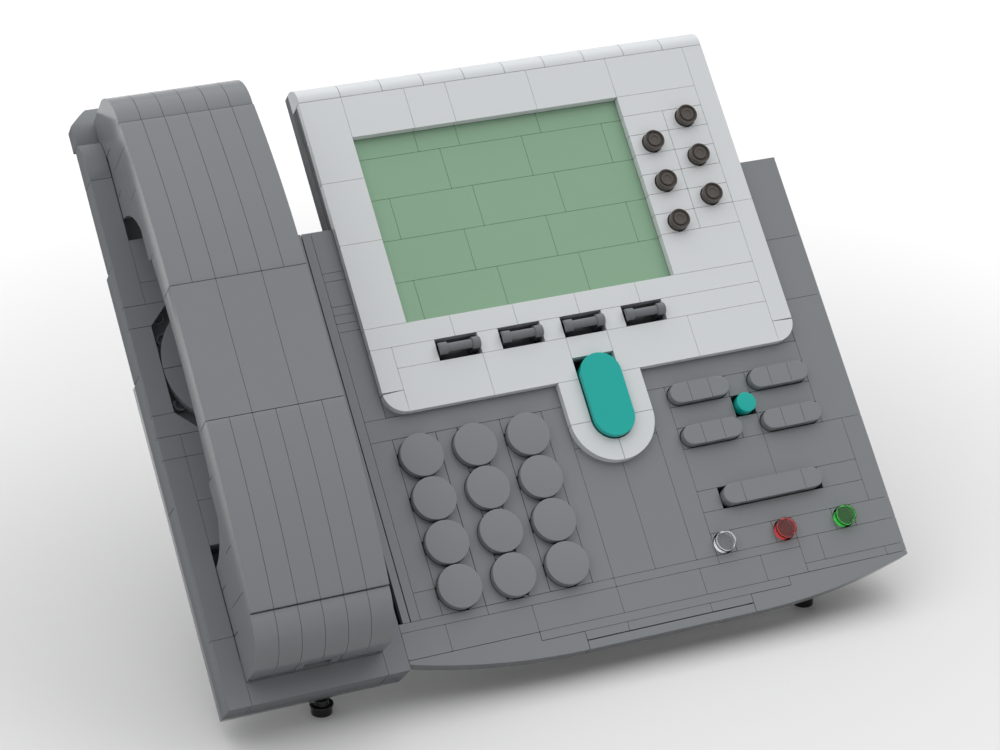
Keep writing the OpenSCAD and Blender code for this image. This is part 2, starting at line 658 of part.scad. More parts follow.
module arch_strips() color(deck_grey) on_face()
    for (u = [HANDSET[0]:HANDSET[1] - 1], side = [0, 1])
        handset_side(u, u + 1) mirror([side, 0]) strip_outline();
module strip_outline() {
    length = (STRIP_HALF - GRIP_HALF) * stud;
    start = GRIP_HALF * stud + seam;
    back = [for (i = [0:ARC_STEPS]) let (d = GRIP_HALF + (STRIP_HALF - GRIP_HALF) * i / ARC_STEPS)
        [max(d * stud, start), GRIP_TOP - arch_drop(d)]];
    polygon(concat([[start + length - seam, STRIP_BOTTOM], [start, STRIP_BOTTOM]], back));
}

// Six rounded strips at each end; the ear end reaches below the deck's surface
module end_caps() color(deck_grey) on_face() {
    difference() {
        for (u = [HANDSET[0]:HANDSET[1] - 1]) handset_side(u, u + 1) mirror([1, 0]) cap_outline(rest_gap);
        cord_socket();
    }
    for (u = [HANDSET[0]:HANDSET[1] - 1]) handset_side(u, u + 1) cap_outline(-ear_dip);
}
module cap_outline(low) {
    inner = STRIP_HALF * stud + 2 * seam;
    outer = inner + cap_l - 3 * seam;
    polygon(concat([[inner, low], [outer, low]], arc(inner, CAP_MID, outer - inner, cap_h, 0, 90)));
}
module cord_socket()
    translate([HANDSET_MID * stud - socket_w / 2, -(GRIP_MID + HALF_LENGTH) * stud - seam, -plate])
        cube([socket_w, socket_l + seam, plate + rest_gap + socket_h]);

// Two end blocks and the bridge between them, with the finger opening below and the capsules' pockets
module handset_body() color(deck_grey) on_face() difference() {
    for (cut = [[-STRIP_HALF, -CEILING_HALF], [-CEILING_HALF, CEILING_HALF], [CEILING_HALF, STRIP_HALF]])
        handset_side(HANDSET[0], HANDSET[1]) intersection() {
            body_outline();
            translate([cut[0] * stud + seam, -stud]) square([(cut[1] - cut[0]) * stud - 2 * seam, 8 * stud]);
        }
    for (at = CAPSULE_AT) post(at, capsule_d + 2 * seam, 0, rest_gap + CAPSULE_IN);
    cord_socket();
}
module body_outline() difference() {
    union() {
        translate([-STRIP_HALF * stud, rest_gap]) square([2 * STRIP_HALF * stud, STRIP_BOTTOM - rest_gap]);
        translate([-GRIP_HALF * stud, rest_gap]) square([2 * GRIP_HALF * stud, GRIP_TOP - plate - rest_gap]);
    }
    for (side = [0, 1]) mirror([side, 0]) finger_outline();
}
module finger_outline() {
    edge = CEILING_HALF * stud;
    ceiling = [for (i = [0:ARC_STEPS]) let (t = i / ARC_STEPS) [edge * t, finger_h - finger_sag * t * t]];
    from = asin((finger_end_h + finger_drop) / finger_r);
    curve = arc(edge, -finger_drop, finger_r, finger_r, from, 0);
    polygon(concat([[-seam, -finger_drop], [-seam, finger_h]], ceiling, [[edge, finger_end_h]], curve));
}

// Round capsules under the two ends
module capsule(at) difference() {
    post(at, capsule_d, rest_gap - capsule_h, rest_gap + CAPSULE_IN);
    for (ring = [0:5]) {
        turned = at + CAPSULE_RING / stud * [cos(60 * ring), sin(60 * ring)];
        post(turned, CAPSULE_HOLE, -capsule_h - plate, rest_gap - capsule_h + CAPSULE_HOLE);
    }
}
module ear_capsule() color(inner_black) on_face() capsule(CAPSULE_AT[0]);
module mouth_capsule() color(inner_black) on_face() capsule(CAPSULE_AT[1]);

module keypad_key(i) color(deck_grey) on_face()
    key(KEYPAD_AT[i - 1], PLATE) post(KEYPAD_AT[i - 1], keypad_d, -cap_sink, plate);
module pill_key(i) color(deck_grey) on_face()
    key(PILL_AT[i - 1], PLATE)
        pill(PILL_AT[i - 1], PILL_STUDS * stud - 2 * key_gap - seam, narrow_w, -cap_sink, plate);
module volume_bar() color(deck_grey) on_face()
    key(BAR_AT, PLATE) pill(BAR_AT, BAR_STUDS * stud - 2 * key_gap - seam, narrow_w, -cap_sink, plate);
module round_key() color(teal) on_face()
    key(ROUND_AT, PLATE) post(ROUND_AT, narrow_w, -cap_sink, plate);
module oval_key() color(teal) on_face()
    key(OVAL_AT, PLATE)
        pill(OVAL_AT, OVAL_STUDS[1] * stud - 2 * narrow_inset, OVAL_STUDS[0] * stud - 2 * narrow_inset,
             -cap_sink, oval_rise, 90);
module lamp_key(i) color(lamp_colours[i - 1]) on_face()
    key(LAMP_AT[i - 1], PLATE) post(LAMP_AT[i - 1], narrow_w, -cap_sink, plate);

// Line key: a round knob with a groove around a hollow middle
module line_key(i) color(key_brown) on_face() difference() {
    at = LINE_AT[i - 1];
    top = 2 * plate;
    key(at, TILE) post(at, line_d, plate - cap_sink, top);
    difference() {
        post(at, KNOB_GROOVE[1], top - KNOB_DEEP, top + plate);
        post(at, KNOB_GROOVE[0], top - plate, top + 2 * plate);
    }
    post(at, KNOB_HOLLOW, top - KNOB_DEEP, top + plate);
}

// Soft key: a bar between two lugs, on a block that slides in the slot
module soft_key(i) color(soft_grey) on_face() {
    at = SOFT_AT[i - 1];
    half = SOFT_STUDS / 2;
    area = [at[0] - half[0], at[1] - half[1], at[0] + half[0], at[1] + half[1]];
    stop = PLATE[0] * plate - key_gap;
    end = half[0] * stud - key_gap - seam;
    block(area, stop - collar_h, stop, -2 * key_gap);
    block(area, stop - seam, -SOFT_TOP, key_gap + seam);
    translate([at[0] * stud, -at[1] * stud, bar_rise]) {
        rotate([0, 90, 0]) cylinder(d = bar_d, h = 2 * end - lug_l, center = true);
        for (side = [-1, 1]) translate([side * (end - lug_l / 2), 0, 0]) {
            rotate([0, 90, 0]) cylinder(d = lug_d, h = lug_l, center = true);
            translate([-lug_l / 2, -lug_d / 2, -bar_rise - SOFT_TOP - seam])
                cube([lug_l, lug_d, bar_rise + SOFT_TOP + seam]);
        }
    }
}

deck_tiles();
deck_edge_strips();
front_lip();
deck_plates();
deck_walls();
base_plate();
display_housing();
display_rim();
display_tray();
bezel_tiles();
bezel_brow();
screen_tiles();
tongue_tiles();
cradle_walls();
cradle_floor();
cradle_tiles();
cradle_end_slopes();
cradle_disc();
cradle_studs();
foot_brackets();
feet();
rear_stand();
grip_tiles();
arch_strips();
end_caps();
handset_body();
ear_capsule();
mouth_capsule();
volume_bar();
oval_key();
round_key();
for (i = [1:len(KEYPAD_AT)])
    keypad_key(i);
for (i = [1:len(PILL_AT)])
    pill_key(i);
for (i = [1:len(LAMP_AT)])
    lamp_key(i);
for (i = [1:len(LINE_AT)])
    line_key(i);
for (i = [1:len(SOFT_AT)])
    soft_key(i);
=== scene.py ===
"""Looks of a desk telephone built of interlocking plastic bricks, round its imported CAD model.

Lengths are millimetres until finish_piece() turns them into metres. The sloping face has its own
axes, as the CAD has: u to the right and v down the slope, counted in studs of 8 mm, and z out of
the face. Outlines are points (x, y) on the face with x = 8u and y = -8v, going round anticlockwise.
Numbers such as 7.9 and 16.1 in them are whole studs with a seam of 0.1 mm left free.
"""

import bmesh
import bpy
import numpy as np
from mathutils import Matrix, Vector


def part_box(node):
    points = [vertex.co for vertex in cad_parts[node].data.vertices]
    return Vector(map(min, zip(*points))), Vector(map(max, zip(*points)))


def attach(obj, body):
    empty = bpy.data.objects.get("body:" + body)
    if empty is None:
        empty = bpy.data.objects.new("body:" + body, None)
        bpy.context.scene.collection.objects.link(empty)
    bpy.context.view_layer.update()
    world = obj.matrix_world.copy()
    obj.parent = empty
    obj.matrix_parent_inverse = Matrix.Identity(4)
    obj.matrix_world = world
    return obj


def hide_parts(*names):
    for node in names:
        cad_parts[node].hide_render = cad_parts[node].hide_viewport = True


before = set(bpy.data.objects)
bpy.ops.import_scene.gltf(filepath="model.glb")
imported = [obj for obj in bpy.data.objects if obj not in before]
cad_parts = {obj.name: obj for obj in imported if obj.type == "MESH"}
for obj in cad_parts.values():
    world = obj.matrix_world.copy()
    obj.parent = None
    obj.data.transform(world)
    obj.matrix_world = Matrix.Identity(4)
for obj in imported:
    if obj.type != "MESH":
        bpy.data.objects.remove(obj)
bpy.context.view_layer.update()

# Brick grid
STUD = 8.0
PLATE = 3.2
SEAM = 0.1
FINE_SEAM = 0.055
DECK_LEFT, DECK_RIGHT = -10, 22
DECK_BACK, DECK_FRONT = -10, 8
MIDDLE = 10 * STUD
SLOPE = np.radians(45.0)
COS, SIN = np.cos(SLOPE), np.sin(SLOPE)

# Softness of moulded edges and corners, steps round a quarter edge and a circle, and the radius
# that stands for a turned solid's axis. A corner is softened only where the cosine between its
# edges is over STRAIGHT, along no more than REACH of the shorter edge, by CURVE_POINTS points.
EDGE = 0.07
KEY_EDGE = 0.25
CORNER = 0.2
QUARTER = 4
ROUND_STEPS = 72
AXIS = 0.01
STRAIGHT, REACH, CURVE_POINTS = -0.9, 0.4, 4

# Keys, as in the CAD
KEY_GAP = 0.25
WELL_GAP = 0.07
KEY_SINK = -1.8
KEYPAD_R = 7.8
NARROW = 7.4
LINE_R = 3.8
OVAL_TOP = 6.0
STEM_R, COLLAR_R, COLLAR_H = 2.4, 3.5, 1.3
KEY_COLUMNS = (1, 3.5, 6)
KEY_ROWS = (1, 3, 5, 7)
KEYPAD_AT = [(u, v) for v in KEY_ROWS for u in KEY_COLUMNS]
PILL_AT = [(14.5, 0.5), (18.5, 0.5), (14.5, 2.5), (18.5, 2.5)]
BAR_AT = (16.5, 5.5)
ROUND_AT = (16.5, 1.5)
OVAL_AT = (10, 0)
LAMP_AT = [(13.5, 7.5), (16.5, 7.5), (19.5, 7.5)]
LINE_AT = [(18, -12.5), (16, -11.5), (18, -10.5), (16, -9.5), (18, -8.5), (16, -7.5)]
SOFT_AT = [(u, -3.5) for u in (4, 7, 10, 13)]

# Caps stand on a foot that is narrower by UNDERCUT up to FOOT_TOP. Deck pieces between two wells
# of the keypad end TIP from its middle. Wells of one stud have a straight edge and a round one.
UNDERCUT, FOOT_TOP = 0.12, 0.35
TIP = 1.5
WELL_EDGE = STUD / 2 - SEAM
WELL_R = WELL_EDGE + 0.05

# Handset, in studs and millimetres, as in the CAD
GRIP_MID = -4
GRIP_HALF = 3
STRIP_HALF = 11
CEILING_HALF = 5
REST_GAP = 0.3
GRIP_TOP = 11 * PLATE + REST_GAP
STRIP_BOTTOM = 8 * PLATE + REST_GAP
ARCH_R = 260.0
OVERHANG = 0.8
CAP_L, CAP_H = 16.0, 16.8
EAR_DIP = 5.4
FINGER_H, FINGER_SAG = 25.0, 3.0
FINGER_END_H, FINGER_R, FINGER_DROP = 18.8, 24.0, 2.0
SOCKET = (-6.6, -5.4)
SOCKET_TOP = 6.4


def face_origin():
    """The face's own zero in the row frame, worked back from the box of the deck's tiles."""
    low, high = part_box("deck_tiles")
    return np.array([
        low.x * 1000 + STUD - SEAM,
        low.y * 1000 + COS * (DECK_FRONT * STUD - SEAM),
        high.z * 1000 - SIN * (-DECK_BACK * STUD - SEAM),
    ])


FACE = face_origin()


def off_face(points):
    """Turns face axes about X by the slope: (x, y, z) goes to (x, cy - sz, sy + cz)."""
    x, y, z = points.T
    return np.column_stack([x, COS * y - SIN * z, SIN * y + COS * z])


def upright(points):
    """Leaves points that already stand in the row frame's directions as they are."""
    return points


# ---------------------------------------------------------------- outlines

def soften(points, radius=CORNER):
    """Sharp corners p become curves p + (1-s)^2 a + s^2 b, where a and b run along both edges by
    radius, or far enough for a rim drawn in by EDGE: with c the cosine between the edges, the
    curve's tightest bend is r (1 - c) / sqrt(2 (1 + c))."""
    p = np.asarray(points, float)
    back, on = np.roll(p, 1, 0) - p, np.roll(p, -1, 0) - p
    length_back = np.linalg.norm(back, axis=1, keepdims=True)
    length_on = np.linalg.norm(on, axis=1, keepdims=True)
    back, on = back / length_back, on / length_on
    cosine = (back * on).sum(1, keepdims=True)
    sharp = cosine > STRAIGHT
    taken = 1.63 * EDGE * np.sqrt(1 + cosine) / np.maximum(1 - cosine, 0.05)
    reach = np.minimum(np.maximum(radius, taken), REACH * np.minimum(length_back, length_on))
    reach = np.where(sharp, reach, 0.0)
    s = np.linspace(0, 1, CURVE_POINTS)[None, :, None]
    curve = p[:, None] + (1 - s) ** 2 * (back * reach)[:, None] + s ** 2 * (on * reach)[:, None]
    keep = np.repeat(sharp, CURVE_POINTS, axis=1)
    keep[:, 0] = True
    return curve[keep]


def arc(x, y, a, b, start, stop, steps=24):
    """Points (x + a cos t, y + b sin t) for t from start to stop degrees."""
    t = np.radians(np.linspace(start, stop, steps + 1))
    return np.column_stack([x + a * np.cos(t), y + b * np.sin(t)])


def on_deck(at):
    """Point of the face, in millimetres, at a place counted in studs."""
    return at[0] * STUD, -at[1] * STUD


def in_order(outline, sign):
    """Outline as drawn, or backwards where a mirroring has turned it clockwise (sign < 0)."""
    return outline if sign > 0 else outline[::-1]


def of_pair(left, side):
    """Left one of a pair as drawn (-1), or its twin across the face's middle line (+1)."""
    return left if side < 0 else (left * [-1, 1] + [2 * MIDDLE, 0])[::-1]


def rectangle(x0, y0, x1, y1, radius=CORNER):
    return soften([[x0, y0], [x1, y0], [x1, y1], [x0, y1]], radius)


def cell(u0, v0, u1, v1):
    """Outline of a tile between two values of u and of v, inside the part's sides."""
    return rectangle(max(u0 * STUD + FINE_SEAM, DECK_LEFT * STUD + SEAM), -v1 * STUD + FINE_SEAM,
                     min(u1 * STUD - FINE_SEAM, DECK_RIGHT * STUD - SEAM), -v0 * STUD - FINE_SEAM)


def row(cuts, v0, v1):
    return [cell(a, v0, b, v1) for a, b in zip(cuts, cuts[1:])]


def column(cuts, u0, u1):
    return [cell(u0, a, u1, b) for a, b in zip(cuts, cuts[1:])]


def beside_keys(centre, side, straight, limit):
    """Deck pieces beside a column of round keys: the free side is x = centre + side * w(v), where
    w = sqrt(R^2 - 64 (v - key)^2) is the nearest well's half width, at least TIP, and it stops at
    limit. Where a piece would get narrower than 0.3 mm it is parted."""
    well = KEYPAD_R + WELL_GAP
    v = np.linspace(SEAM / STUD, KEY_ROWS[-1] + 1 - SEAM / STUD, 129)
    off = STUD * (v[:, None] - np.array(KEY_ROWS)[None, :])
    half = np.sqrt(np.clip(well ** 2 - off ** 2, TIP ** 2, None)).max(1)
    free = side * np.maximum(side * centre * STUD + half, side * limit)
    straight_x = np.full_like(v, straight)
    open_rows = np.flatnonzero(side * (straight - free) > 0.3)
    outlines = []
    for rows in np.split(open_rows, np.flatnonzero(np.diff(open_rows) > 1) + 1):
        down = np.column_stack([(straight_x if side < 0 else free)[rows], -STUD * v[rows]])
        up = np.column_stack([(free if side < 0 else straight_x)[rows], -STUD * v[rows]])[::-1]
        if side < 0:
            down = down[[0, -1]]
        else:
            up = up[[0, -1]]
        outlines.append(soften(np.vstack([down, up]), 0.1))
    return outlines


# ---------------------------------------------------------------- solids

def shell(rings, normals, place, along="z"):
    """Closed surface through rings of points (ring, point, xyz), drawn along z or along x."""
    if along == "x":
        rings, normals = rings[..., [2, 0, 1]], normals[..., [2, 0, 1]]
    count, around = rings.shape[:2]
    index = np.arange(count * around).reshape(count, around)
    right = np.roll(index, -1, axis=1)
    quads = np.stack([index[:-1], right[:-1], right[1:], index[1:]], axis=-1).reshape(-1, 4)
    caps = [index[0, ::-1], index[-1]]
    return place(rings.reshape(-1, 3)), place(normals.reshape(-1, 3)), quads, caps


def slab(outline, low, high, soft=EDGE, along="z"):
    """Solid of an outline between two heights. A quarter round is carried along both rims: at its
    angle t a ring stands soft(1 - cos t) inside the outline and soft(1 - sin t) short of the
    height. soft is one length, or one for each point of the outline."""
    p = np.asarray(outline, float)
    soft = np.broadcast_to(np.asarray(soft, float), len(p))
    ahead = np.roll(p, -1, 0) - p
    ahead /= np.linalg.norm(ahead, axis=1, keepdims=True)
    out_ahead = np.column_stack([ahead[:, 1], -ahead[:, 0]])
    out_back = np.roll(out_ahead, 1, axis=0)
    turn = np.maximum(1 + (out_ahead * out_back).sum(1, keepdims=True), 0.3)
    mitre = (out_ahead + out_back) / turn
    outward = mitre / np.linalg.norm(mitre, axis=1, keepdims=True)
    t = np.linspace(0, np.pi / 2, QUARTER)
    t = np.concatenate([t[::-1], t])
    up = np.repeat([-1.0, 1.0], QUARTER)
    inset = soft[None] * (1 - np.cos(t))[:, None]
    short = soft[None] * (1 - np.sin(t))[:, None]
    height = np.where(up[:, None] < 0, low + short, high - short)
    flat = p[None] - mitre[None] * inset[..., None]
    rings = np.concatenate([flat, height[..., None]], axis=2)
    side = outward[None] * np.cos(t)[:, None, None]
    lift = np.broadcast_to((up * np.sin(t))[:, None, None], flat.shape[:2] + (1,))
    return shell(rings, np.concatenate([side, lift], axis=2), off_face, along)


def side_slab(outline, u0, u1, soft=EDGE, gap=SEAM):
    """Slab of a side outline of (distance, z) points, run along u between two studs."""
    return slab(outline, u0 * STUD + gap, u1 * STUD - gap, soft, along="x")


def tiles(outlines, low, high, soft=EDGE):
    """Slabs of several outlines between the same two plate levels."""
    return [slab(outline, low * PLATE, high * PLATE, soft) for outline in outlines]


def turned(profile, at, along="z", soft=0.12, place=off_face, steps=ROUND_STEPS):
    """Turned solid: a profile of (radius, height) points carried round an axis. at is (x, y) of the
    axis, or (y, z) of one that runs along x. A point's normal is the mean of its edges' normals."""
    p = np.asarray(profile, float)
    corners = soften(np.vstack([p, [[0, p[-1, 1]], [0, p[0, 1]]]]), soft)
    p = corners[corners[:, 0] > 1e-9]
    p = np.roll(p, -int(np.argmin(p[:, 1] * 1e3 + p[:, 0])), axis=0)
    edge = np.diff(p, axis=0)
    edge /= np.linalg.norm(edge, axis=1, keepdims=True)
    out = np.column_stack([edge[:, 1], -edge[:, 0]])
    normal = np.vstack([out[:1], out]) + np.vstack([out, out[-1:]])
    normal /= np.linalg.norm(normal, axis=1, keepdims=True)
    turn = np.linspace(0, 2 * np.pi, steps, endpoint=False)
    ring = np.stack([np.cos(turn), np.sin(turn)], axis=-1)

    def carry(radius, height):
        flat = radius[:, None, None] * ring[None]
        level = np.broadcast_to(height[:, None, None], flat.shape[:2] + (1,))
        return np.concatenate([flat, level], axis=2)

    rings = carry(p[:, 0], p[:, 1]) + np.array([at[0], at[1], 0.0])
    return shell(rings, carry(normal[:, 0], normal[:, 1]), place, along)


# ---------------------------------------------------------------- finishes

# Shares by which colour and roughness vary, scale and detail of the noises, and strength and
# distance of the bumps
MOTTLE, UNEVEN = 0.012, 0.15
CLOUD_NOISE, GLOSS_NOISE, GRAIN_NOISE = (38, 3), (120, 5), (900, 4)
FLOW_BUMP, GRAIN_BUMP = (0.004, 0.002), (0.01, 0.0001)
PLASTIC_IOR = 1.53


def srgb(r, g, b):
    """Linear colour of 0-255 display values: ((c + 0.055) / 1.055) ^ 2.4 above the toe."""
    c = np.array([r, g, b]) / 255
    return tuple(np.where(c <= 0.04045, c / 12.92, ((c + 0.055) / 1.055) ** 2.4)) + (1.0,)


def moulded(name, slot, colour, roughness=0.14, gloss=0.3):
    """Moulded plastic: faint colour mottle, uneven gloss, and a bump of flow ripples and fine
    grain. Returns the material with the finish slot it goes to."""
    material = bpy.data.materials.new(name)
    material.use_nodes = True
    nodes, links = material.node_tree.nodes, material.node_tree.links
    surface = nodes["Principled BSDF"].inputs
    surface["IOR"].default_value = PLASTIC_IOR
    surface["Specular IOR Level"].default_value = gloss
    where = nodes.new("ShaderNodeTexCoord")

    def noise(scale, detail):
        node = nodes.new("ShaderNodeTexNoise")
        node.inputs["Scale"].default_value = scale
        node.inputs["Detail"].default_value = detail
        links.new(where.outputs["Object"], node.inputs["Vector"])
        return node.outputs["Fac"]

    def spread(source, middle, share):
        node = nodes.new("ShaderNodeMapRange")
        node.inputs["To Min"].default_value = middle * (1 - share)
        node.inputs["To Max"].default_value = middle * (1 + share)
        links.new(source, node.inputs["Value"])
        return node.outputs["Result"]

    def bump(height, strength, distance):
        node = nodes.new("ShaderNodeBump")
        node.inputs["Strength"].default_value = strength
        node.inputs["Distance"].default_value = distance
        links.new(height, node.inputs["Height"])
        return node

    cloud = noise(*CLOUD_NOISE)
    tone = nodes.new("ShaderNodeHueSaturation")
    tone.inputs["Color"].default_value = colour
    links.new(spread(cloud, 1, MOTTLE), tone.inputs["Value"])
    links.new(tone.outputs["Color"], surface["Base Color"])
    links.new(spread(noise(*GLOSS_NOISE), roughness, UNEVEN), surface["Roughness"])
    flow, grain = bump(cloud, *FLOW_BUMP), bump(noise(*GRAIN_NOISE), *GRAIN_BUMP)
    links.new(flow.outputs["Normal"], grain.inputs["Normal"])
    links.new(grain.outputs["Normal"], surface["Normal"])
    return material, slot


def clear_plastic(name, slot, colour):
    """Clear moulded plastic: full transmission in the colour."""
    material, slot = moulded(name, slot, colour, roughness=0.1)
    material.node_tree.nodes["Principled BSDF"].inputs["Transmission Weight"].default_value = 1.0
    return material, slot


DECK_GREY = moulded("dark_bluish_grey_plastic", "deck_grey", srgb(129, 132, 135))
WALL_GREY = moulded("satin_dark_grey_plastic", "deck_grey", srgb(131, 134, 137), 0.5, 0.0)
BEZEL_GREY = moulded("light_grey_plastic", "bezel_grey", srgb(217, 220, 222), gloss=0.12)
SCREEN_GREEN = moulded("sage_green_plastic", "screen_green", srgb(138, 173, 144))
TEAL = moulded("teal_plastic", "teal", srgb(8, 172, 162))
KNOB_BROWN = moulded("brown_black_plastic", "key_brown", srgb(84, 78, 73))
BAR_GREY = moulded("bar_grey_plastic", "soft_grey", srgb(112, 115, 118))
# A darker copy of the soft keys' grey, on the same finish slot: its darkness is painted shade for
# the carrier down in the key's slot.
SOFT_GREY_PAINTED_SHADE = moulded("soft_grey_painted_shade_plastic", "soft_grey", srgb(58, 60, 62))
# Near-black plastic: the real colour of the round cover's hub and of the capsules, and painted shade
# on the hidden deck plates, the display tray and the inside of the cord socket, where it darkens the
# gaps, holes and socket over them.
INNER_BLACK_AND_PAINTED_SHADE = moulded("inner_black_and_painted_shade", "inner_black", srgb(14, 14, 15), 0.45, 0.12)
FOOT_BLACK = moulded("foot_black_plastic", "foot_black", srgb(16, 16, 17), 0.12, 0.5)
LAMP_FINISH = [
    clear_plastic("clear_lamp_plastic", "clear_lamp", srgb(235, 238, 240)),
    clear_plastic("red_lamp_plastic", "red_lamp", srgb(215, 75, 75)),
    clear_plastic("green_lamp_plastic", "green_lamp", srgb(70, 205, 80)),
]


# ---------------------------------------------------------------- pieces

def hand_over(name, mesh, finish, node, body):
    """Puts a mesh into the scene as a piece that rides on a body in place of a CAD node."""
    material, slot = finish
    mesh.materials.clear()
    mesh.materials.append(material)
    piece = bpy.data.objects.new(name, mesh)
    bpy.context.scene.collection.objects.link(piece)
    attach(piece, body)
    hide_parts(node)
    return piece


def finish_piece(name, solids, finish, node, body="phone", origin=FACE):
    """Joins solids into one mesh in metres, gives it its own normals, and hands it over."""
    start = 0
    points, normals, faces = [], [], []
    for solid_points, solid_normals, quads, caps in solids:
        points.append(solid_points)
        normals.append(solid_normals)
        faces += (quads + start).tolist() + [(cap + start).tolist() for cap in caps]
        start += len(solid_points)
    mesh = bpy.data.meshes.new(name)
    mesh.from_pydata(((np.vstack(points) + origin) / 1000).tolist(), [], faces)
    mesh.polygons.foreach_set("use_smooth", np.ones(len(mesh.polygons), bool))
    mesh.normals_split_custom_set_from_vertices(np.vstack(normals).tolist())
    return hand_over(name, mesh, finish, node, body)


def softened_copy(node, finish, body="phone", width=0.2):
    """A CAD node's loose triangles, merged into whole faces, with an even bevel on every edge."""
    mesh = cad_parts[node].data.copy()
    work = bmesh.new()
    work.from_mesh(mesh)
    bmesh.ops.remove_doubles(work, verts=work.verts, dist=1e-6)
    bmesh.ops.dissolve_limit(work, angle_limit=np.radians(0.3), verts=work.verts, edges=work.edges)
    for face in work.faces:
        face.smooth = True
    work.to_mesh(mesh)
    work.free()
    name = node + "_moulded"
    mesh.name = name
    rounding = hand_over(name, mesh, finish, node, body).modifiers.new("edges", "BEVEL")
    rounding.width = width / 1000
    rounding.segments = 2
    rounding.limit_method = "ANGLE"
    rounding.angle_limit = np.radians(25)
    rounding.harden_normals = True


def thin_rim(along):
    """Softness for the rim of a piece between a straight edge and a round well: a quarter of the
    width edge - sqrt(well^2 - m^2) that is left at m from the well's middle line."""
    return np.clip(0.25 * (WELL_EDGE - np.sqrt(WELL_R ** 2 - along ** 2)), 0.002, EDGE)


def well_corners(at, half=0.0):
    """The four bits of deck left round a well with round ends: a corner and an arc of the end."""
    reach = np.degrees(np.arcsin(WELL_EDGE / WELL_R))
    rim_arc = arc(0, 0, WELL_R, WELL_R, reach, 90 - reach, 12)
    bit = soften(np.vstack([[[WELL_EDGE, WELL_EDGE]], rim_arc]))
    rim = thin_rim(bit.min(1))
    x, y = on_deck(at)
    bits = []
    for sx in (-1, 1):
        for sy in (-1, 1):
            line = bit * [sx, sy] + [x + sx * half, y]
            bits.append(slab(in_order(line, sx * sy), -PLATE, 0, in_order(rim, sx * sy)))
    return bits


def beside_knob(at, u0, u1):
    """The two parts of a bezel tile on both sides of a knob's well, each with a concave end."""
    reach = np.degrees(np.arcsin(WELL_EDGE / WELL_R))
    end = arc(0, 0, WELL_R, WELL_R, 180 + reach, 180 - reach, 16)
    x, y = on_deck(at)
    parts = []
    for side, far in ((-1, u0 * STUD + SEAM - x), (1, x - u1 * STUD + SEAM)):
        part = soften(np.vstack([[[far, WELL_EDGE], [far, -WELL_EDGE]], end]), 0.1)
        rim = thin_rim(np.minimum(np.abs(part[:, 0]), WELL_EDGE))
        line = part * [-side, 1] + [x, y]
        parts.append(slab(in_order(line, -side), 0, PLATE, in_order(rim, -side)))
    return parts


# Deck
def oval_side(side):
    """Deck piece beside the oval key's opening: a straight edge, then a quarter of the round end."""
    rim = arc(MIDDLE, -STUD, STUD, STUD, 250, 180, 20)
    half = np.vstack([[[64.1, 7.9], [64.1, -15.9], [rim[0, 0], -15.9]], rim, [[72, 7.9]]])
    return soften(of_pair(half, side))


deck_outlines = (
    column([-10, -8, -7.6, -6.4, -6, -5.6, -5.2, -1], -1, 0) + column([0, 6.8, 8], -1, 0)
    + column([-10, -6, -3, 3], 20, 22) + row([-1, 8], -1, 0) + row([12, 20], -1, 0)
    + [cell(7, 0, 8, 8), cell(12, 0, 13, 8), cell(16, 0, 17, 1), cell(16, 2, 17, 3)]
    + beside_keys(1, -1, 0.1, 15.9) + beside_keys(1, 1, 15.9, 0.1)
    + beside_keys(3.5, -1, 16.1, 23.9) + beside_keys(3.5, -1, 24.1, 31.9)
    + beside_keys(3.5, 1, 31.9, 24.1) + beside_keys(3.5, 1, 39.9, 32.1)
    + beside_keys(6, -1, 40.1, 55.9) + beside_keys(6, 1, 55.9, 40.1)
    + [oval_side(-1), oval_side(1)] + row([8, 10, 12], 2, 8)
    + [cell(13, 1, 16, 2), cell(17, 1, 20, 2), cell(21, 3, 22, 7), cell(13, 6, 21, 7)]
    + row([13, 17, 21], 3, 5) + [cell(13, 5, 14, 6), cell(19, 5, 21, 6)]
    + [cell(14, 7, 16, 8), cell(17, 7, 19, 8), cell(20, 7, 22, 8)]
)
deck_bits = [bit for at in PILL_AT for bit in well_corners(at, STUD)]
deck_bits += [bit for at in LAMP_AT for bit in well_corners(at)]
finish_piece("deck_tile_field", tiles(deck_outlines, -1, 0) + deck_bits, DECK_GREY, "deck_tiles")

strip_outlines = (
    [cell(-1.8, -10, -1.46, 8), cell(-1.43, -10, -1, 8)]
    + row([-2, 2, 8, 13, 17], 8, 8.4) + row([-2, 0, 4, 8, 12, 15, 17], 8.4, 9.6)
    + row([17, 18, 22], 8, 9.2) + row([17, 21, 22], 9.2, 9.6)
    + [cell(4, 9.6, 16, 10)] + row([6, 8, 12, 14], 10, 10.4)
)
finish_piece("deck_edge_tiling", tiles(strip_outlines, -1, 0), DECK_GREY, "deck_edge_strips")


def lip_wing(side):
    """Half of the curved front edge: stepped behind, and an arc of 31 studs in front whose lowest
    point is at v = 10.83."""
    x = np.linspace(-15.9, 47.9, 40)
    radius = 31 * STUD - SEAM
    front = np.column_stack([x, (31 - 10.83) * STUD - np.sqrt(radius ** 2 - (x - 48) ** 2)])
    back = [[47.9, -80.1], [31.9, -80.1], [31.9, -76.9], [-15.9, -76.9]]
    return soften(of_pair(np.vstack([front, back]), side))


lip_outlines = [lip_wing(-1), lip_wing(1), cell(6, 10.43, 14, 10.83)]
finish_piece("curved_front_lip", tiles(lip_outlines, -2, 0, 0.15), DECK_GREY, "front_lip")


# Display
def bezel_corner(side):
    """Quarter-round tile at a lower corner of the bezel."""
    rim = arc(STUD, 2 * STUD, 7.9, 7.9, 180, 270, 24)
    rim = rim[(rim[:, 0] >= 0.1) & (rim[:, 1] >= 8.1)]
    return soften(of_pair(np.vstack([[[7.9, 15.9]], rim]), side), 0.15)


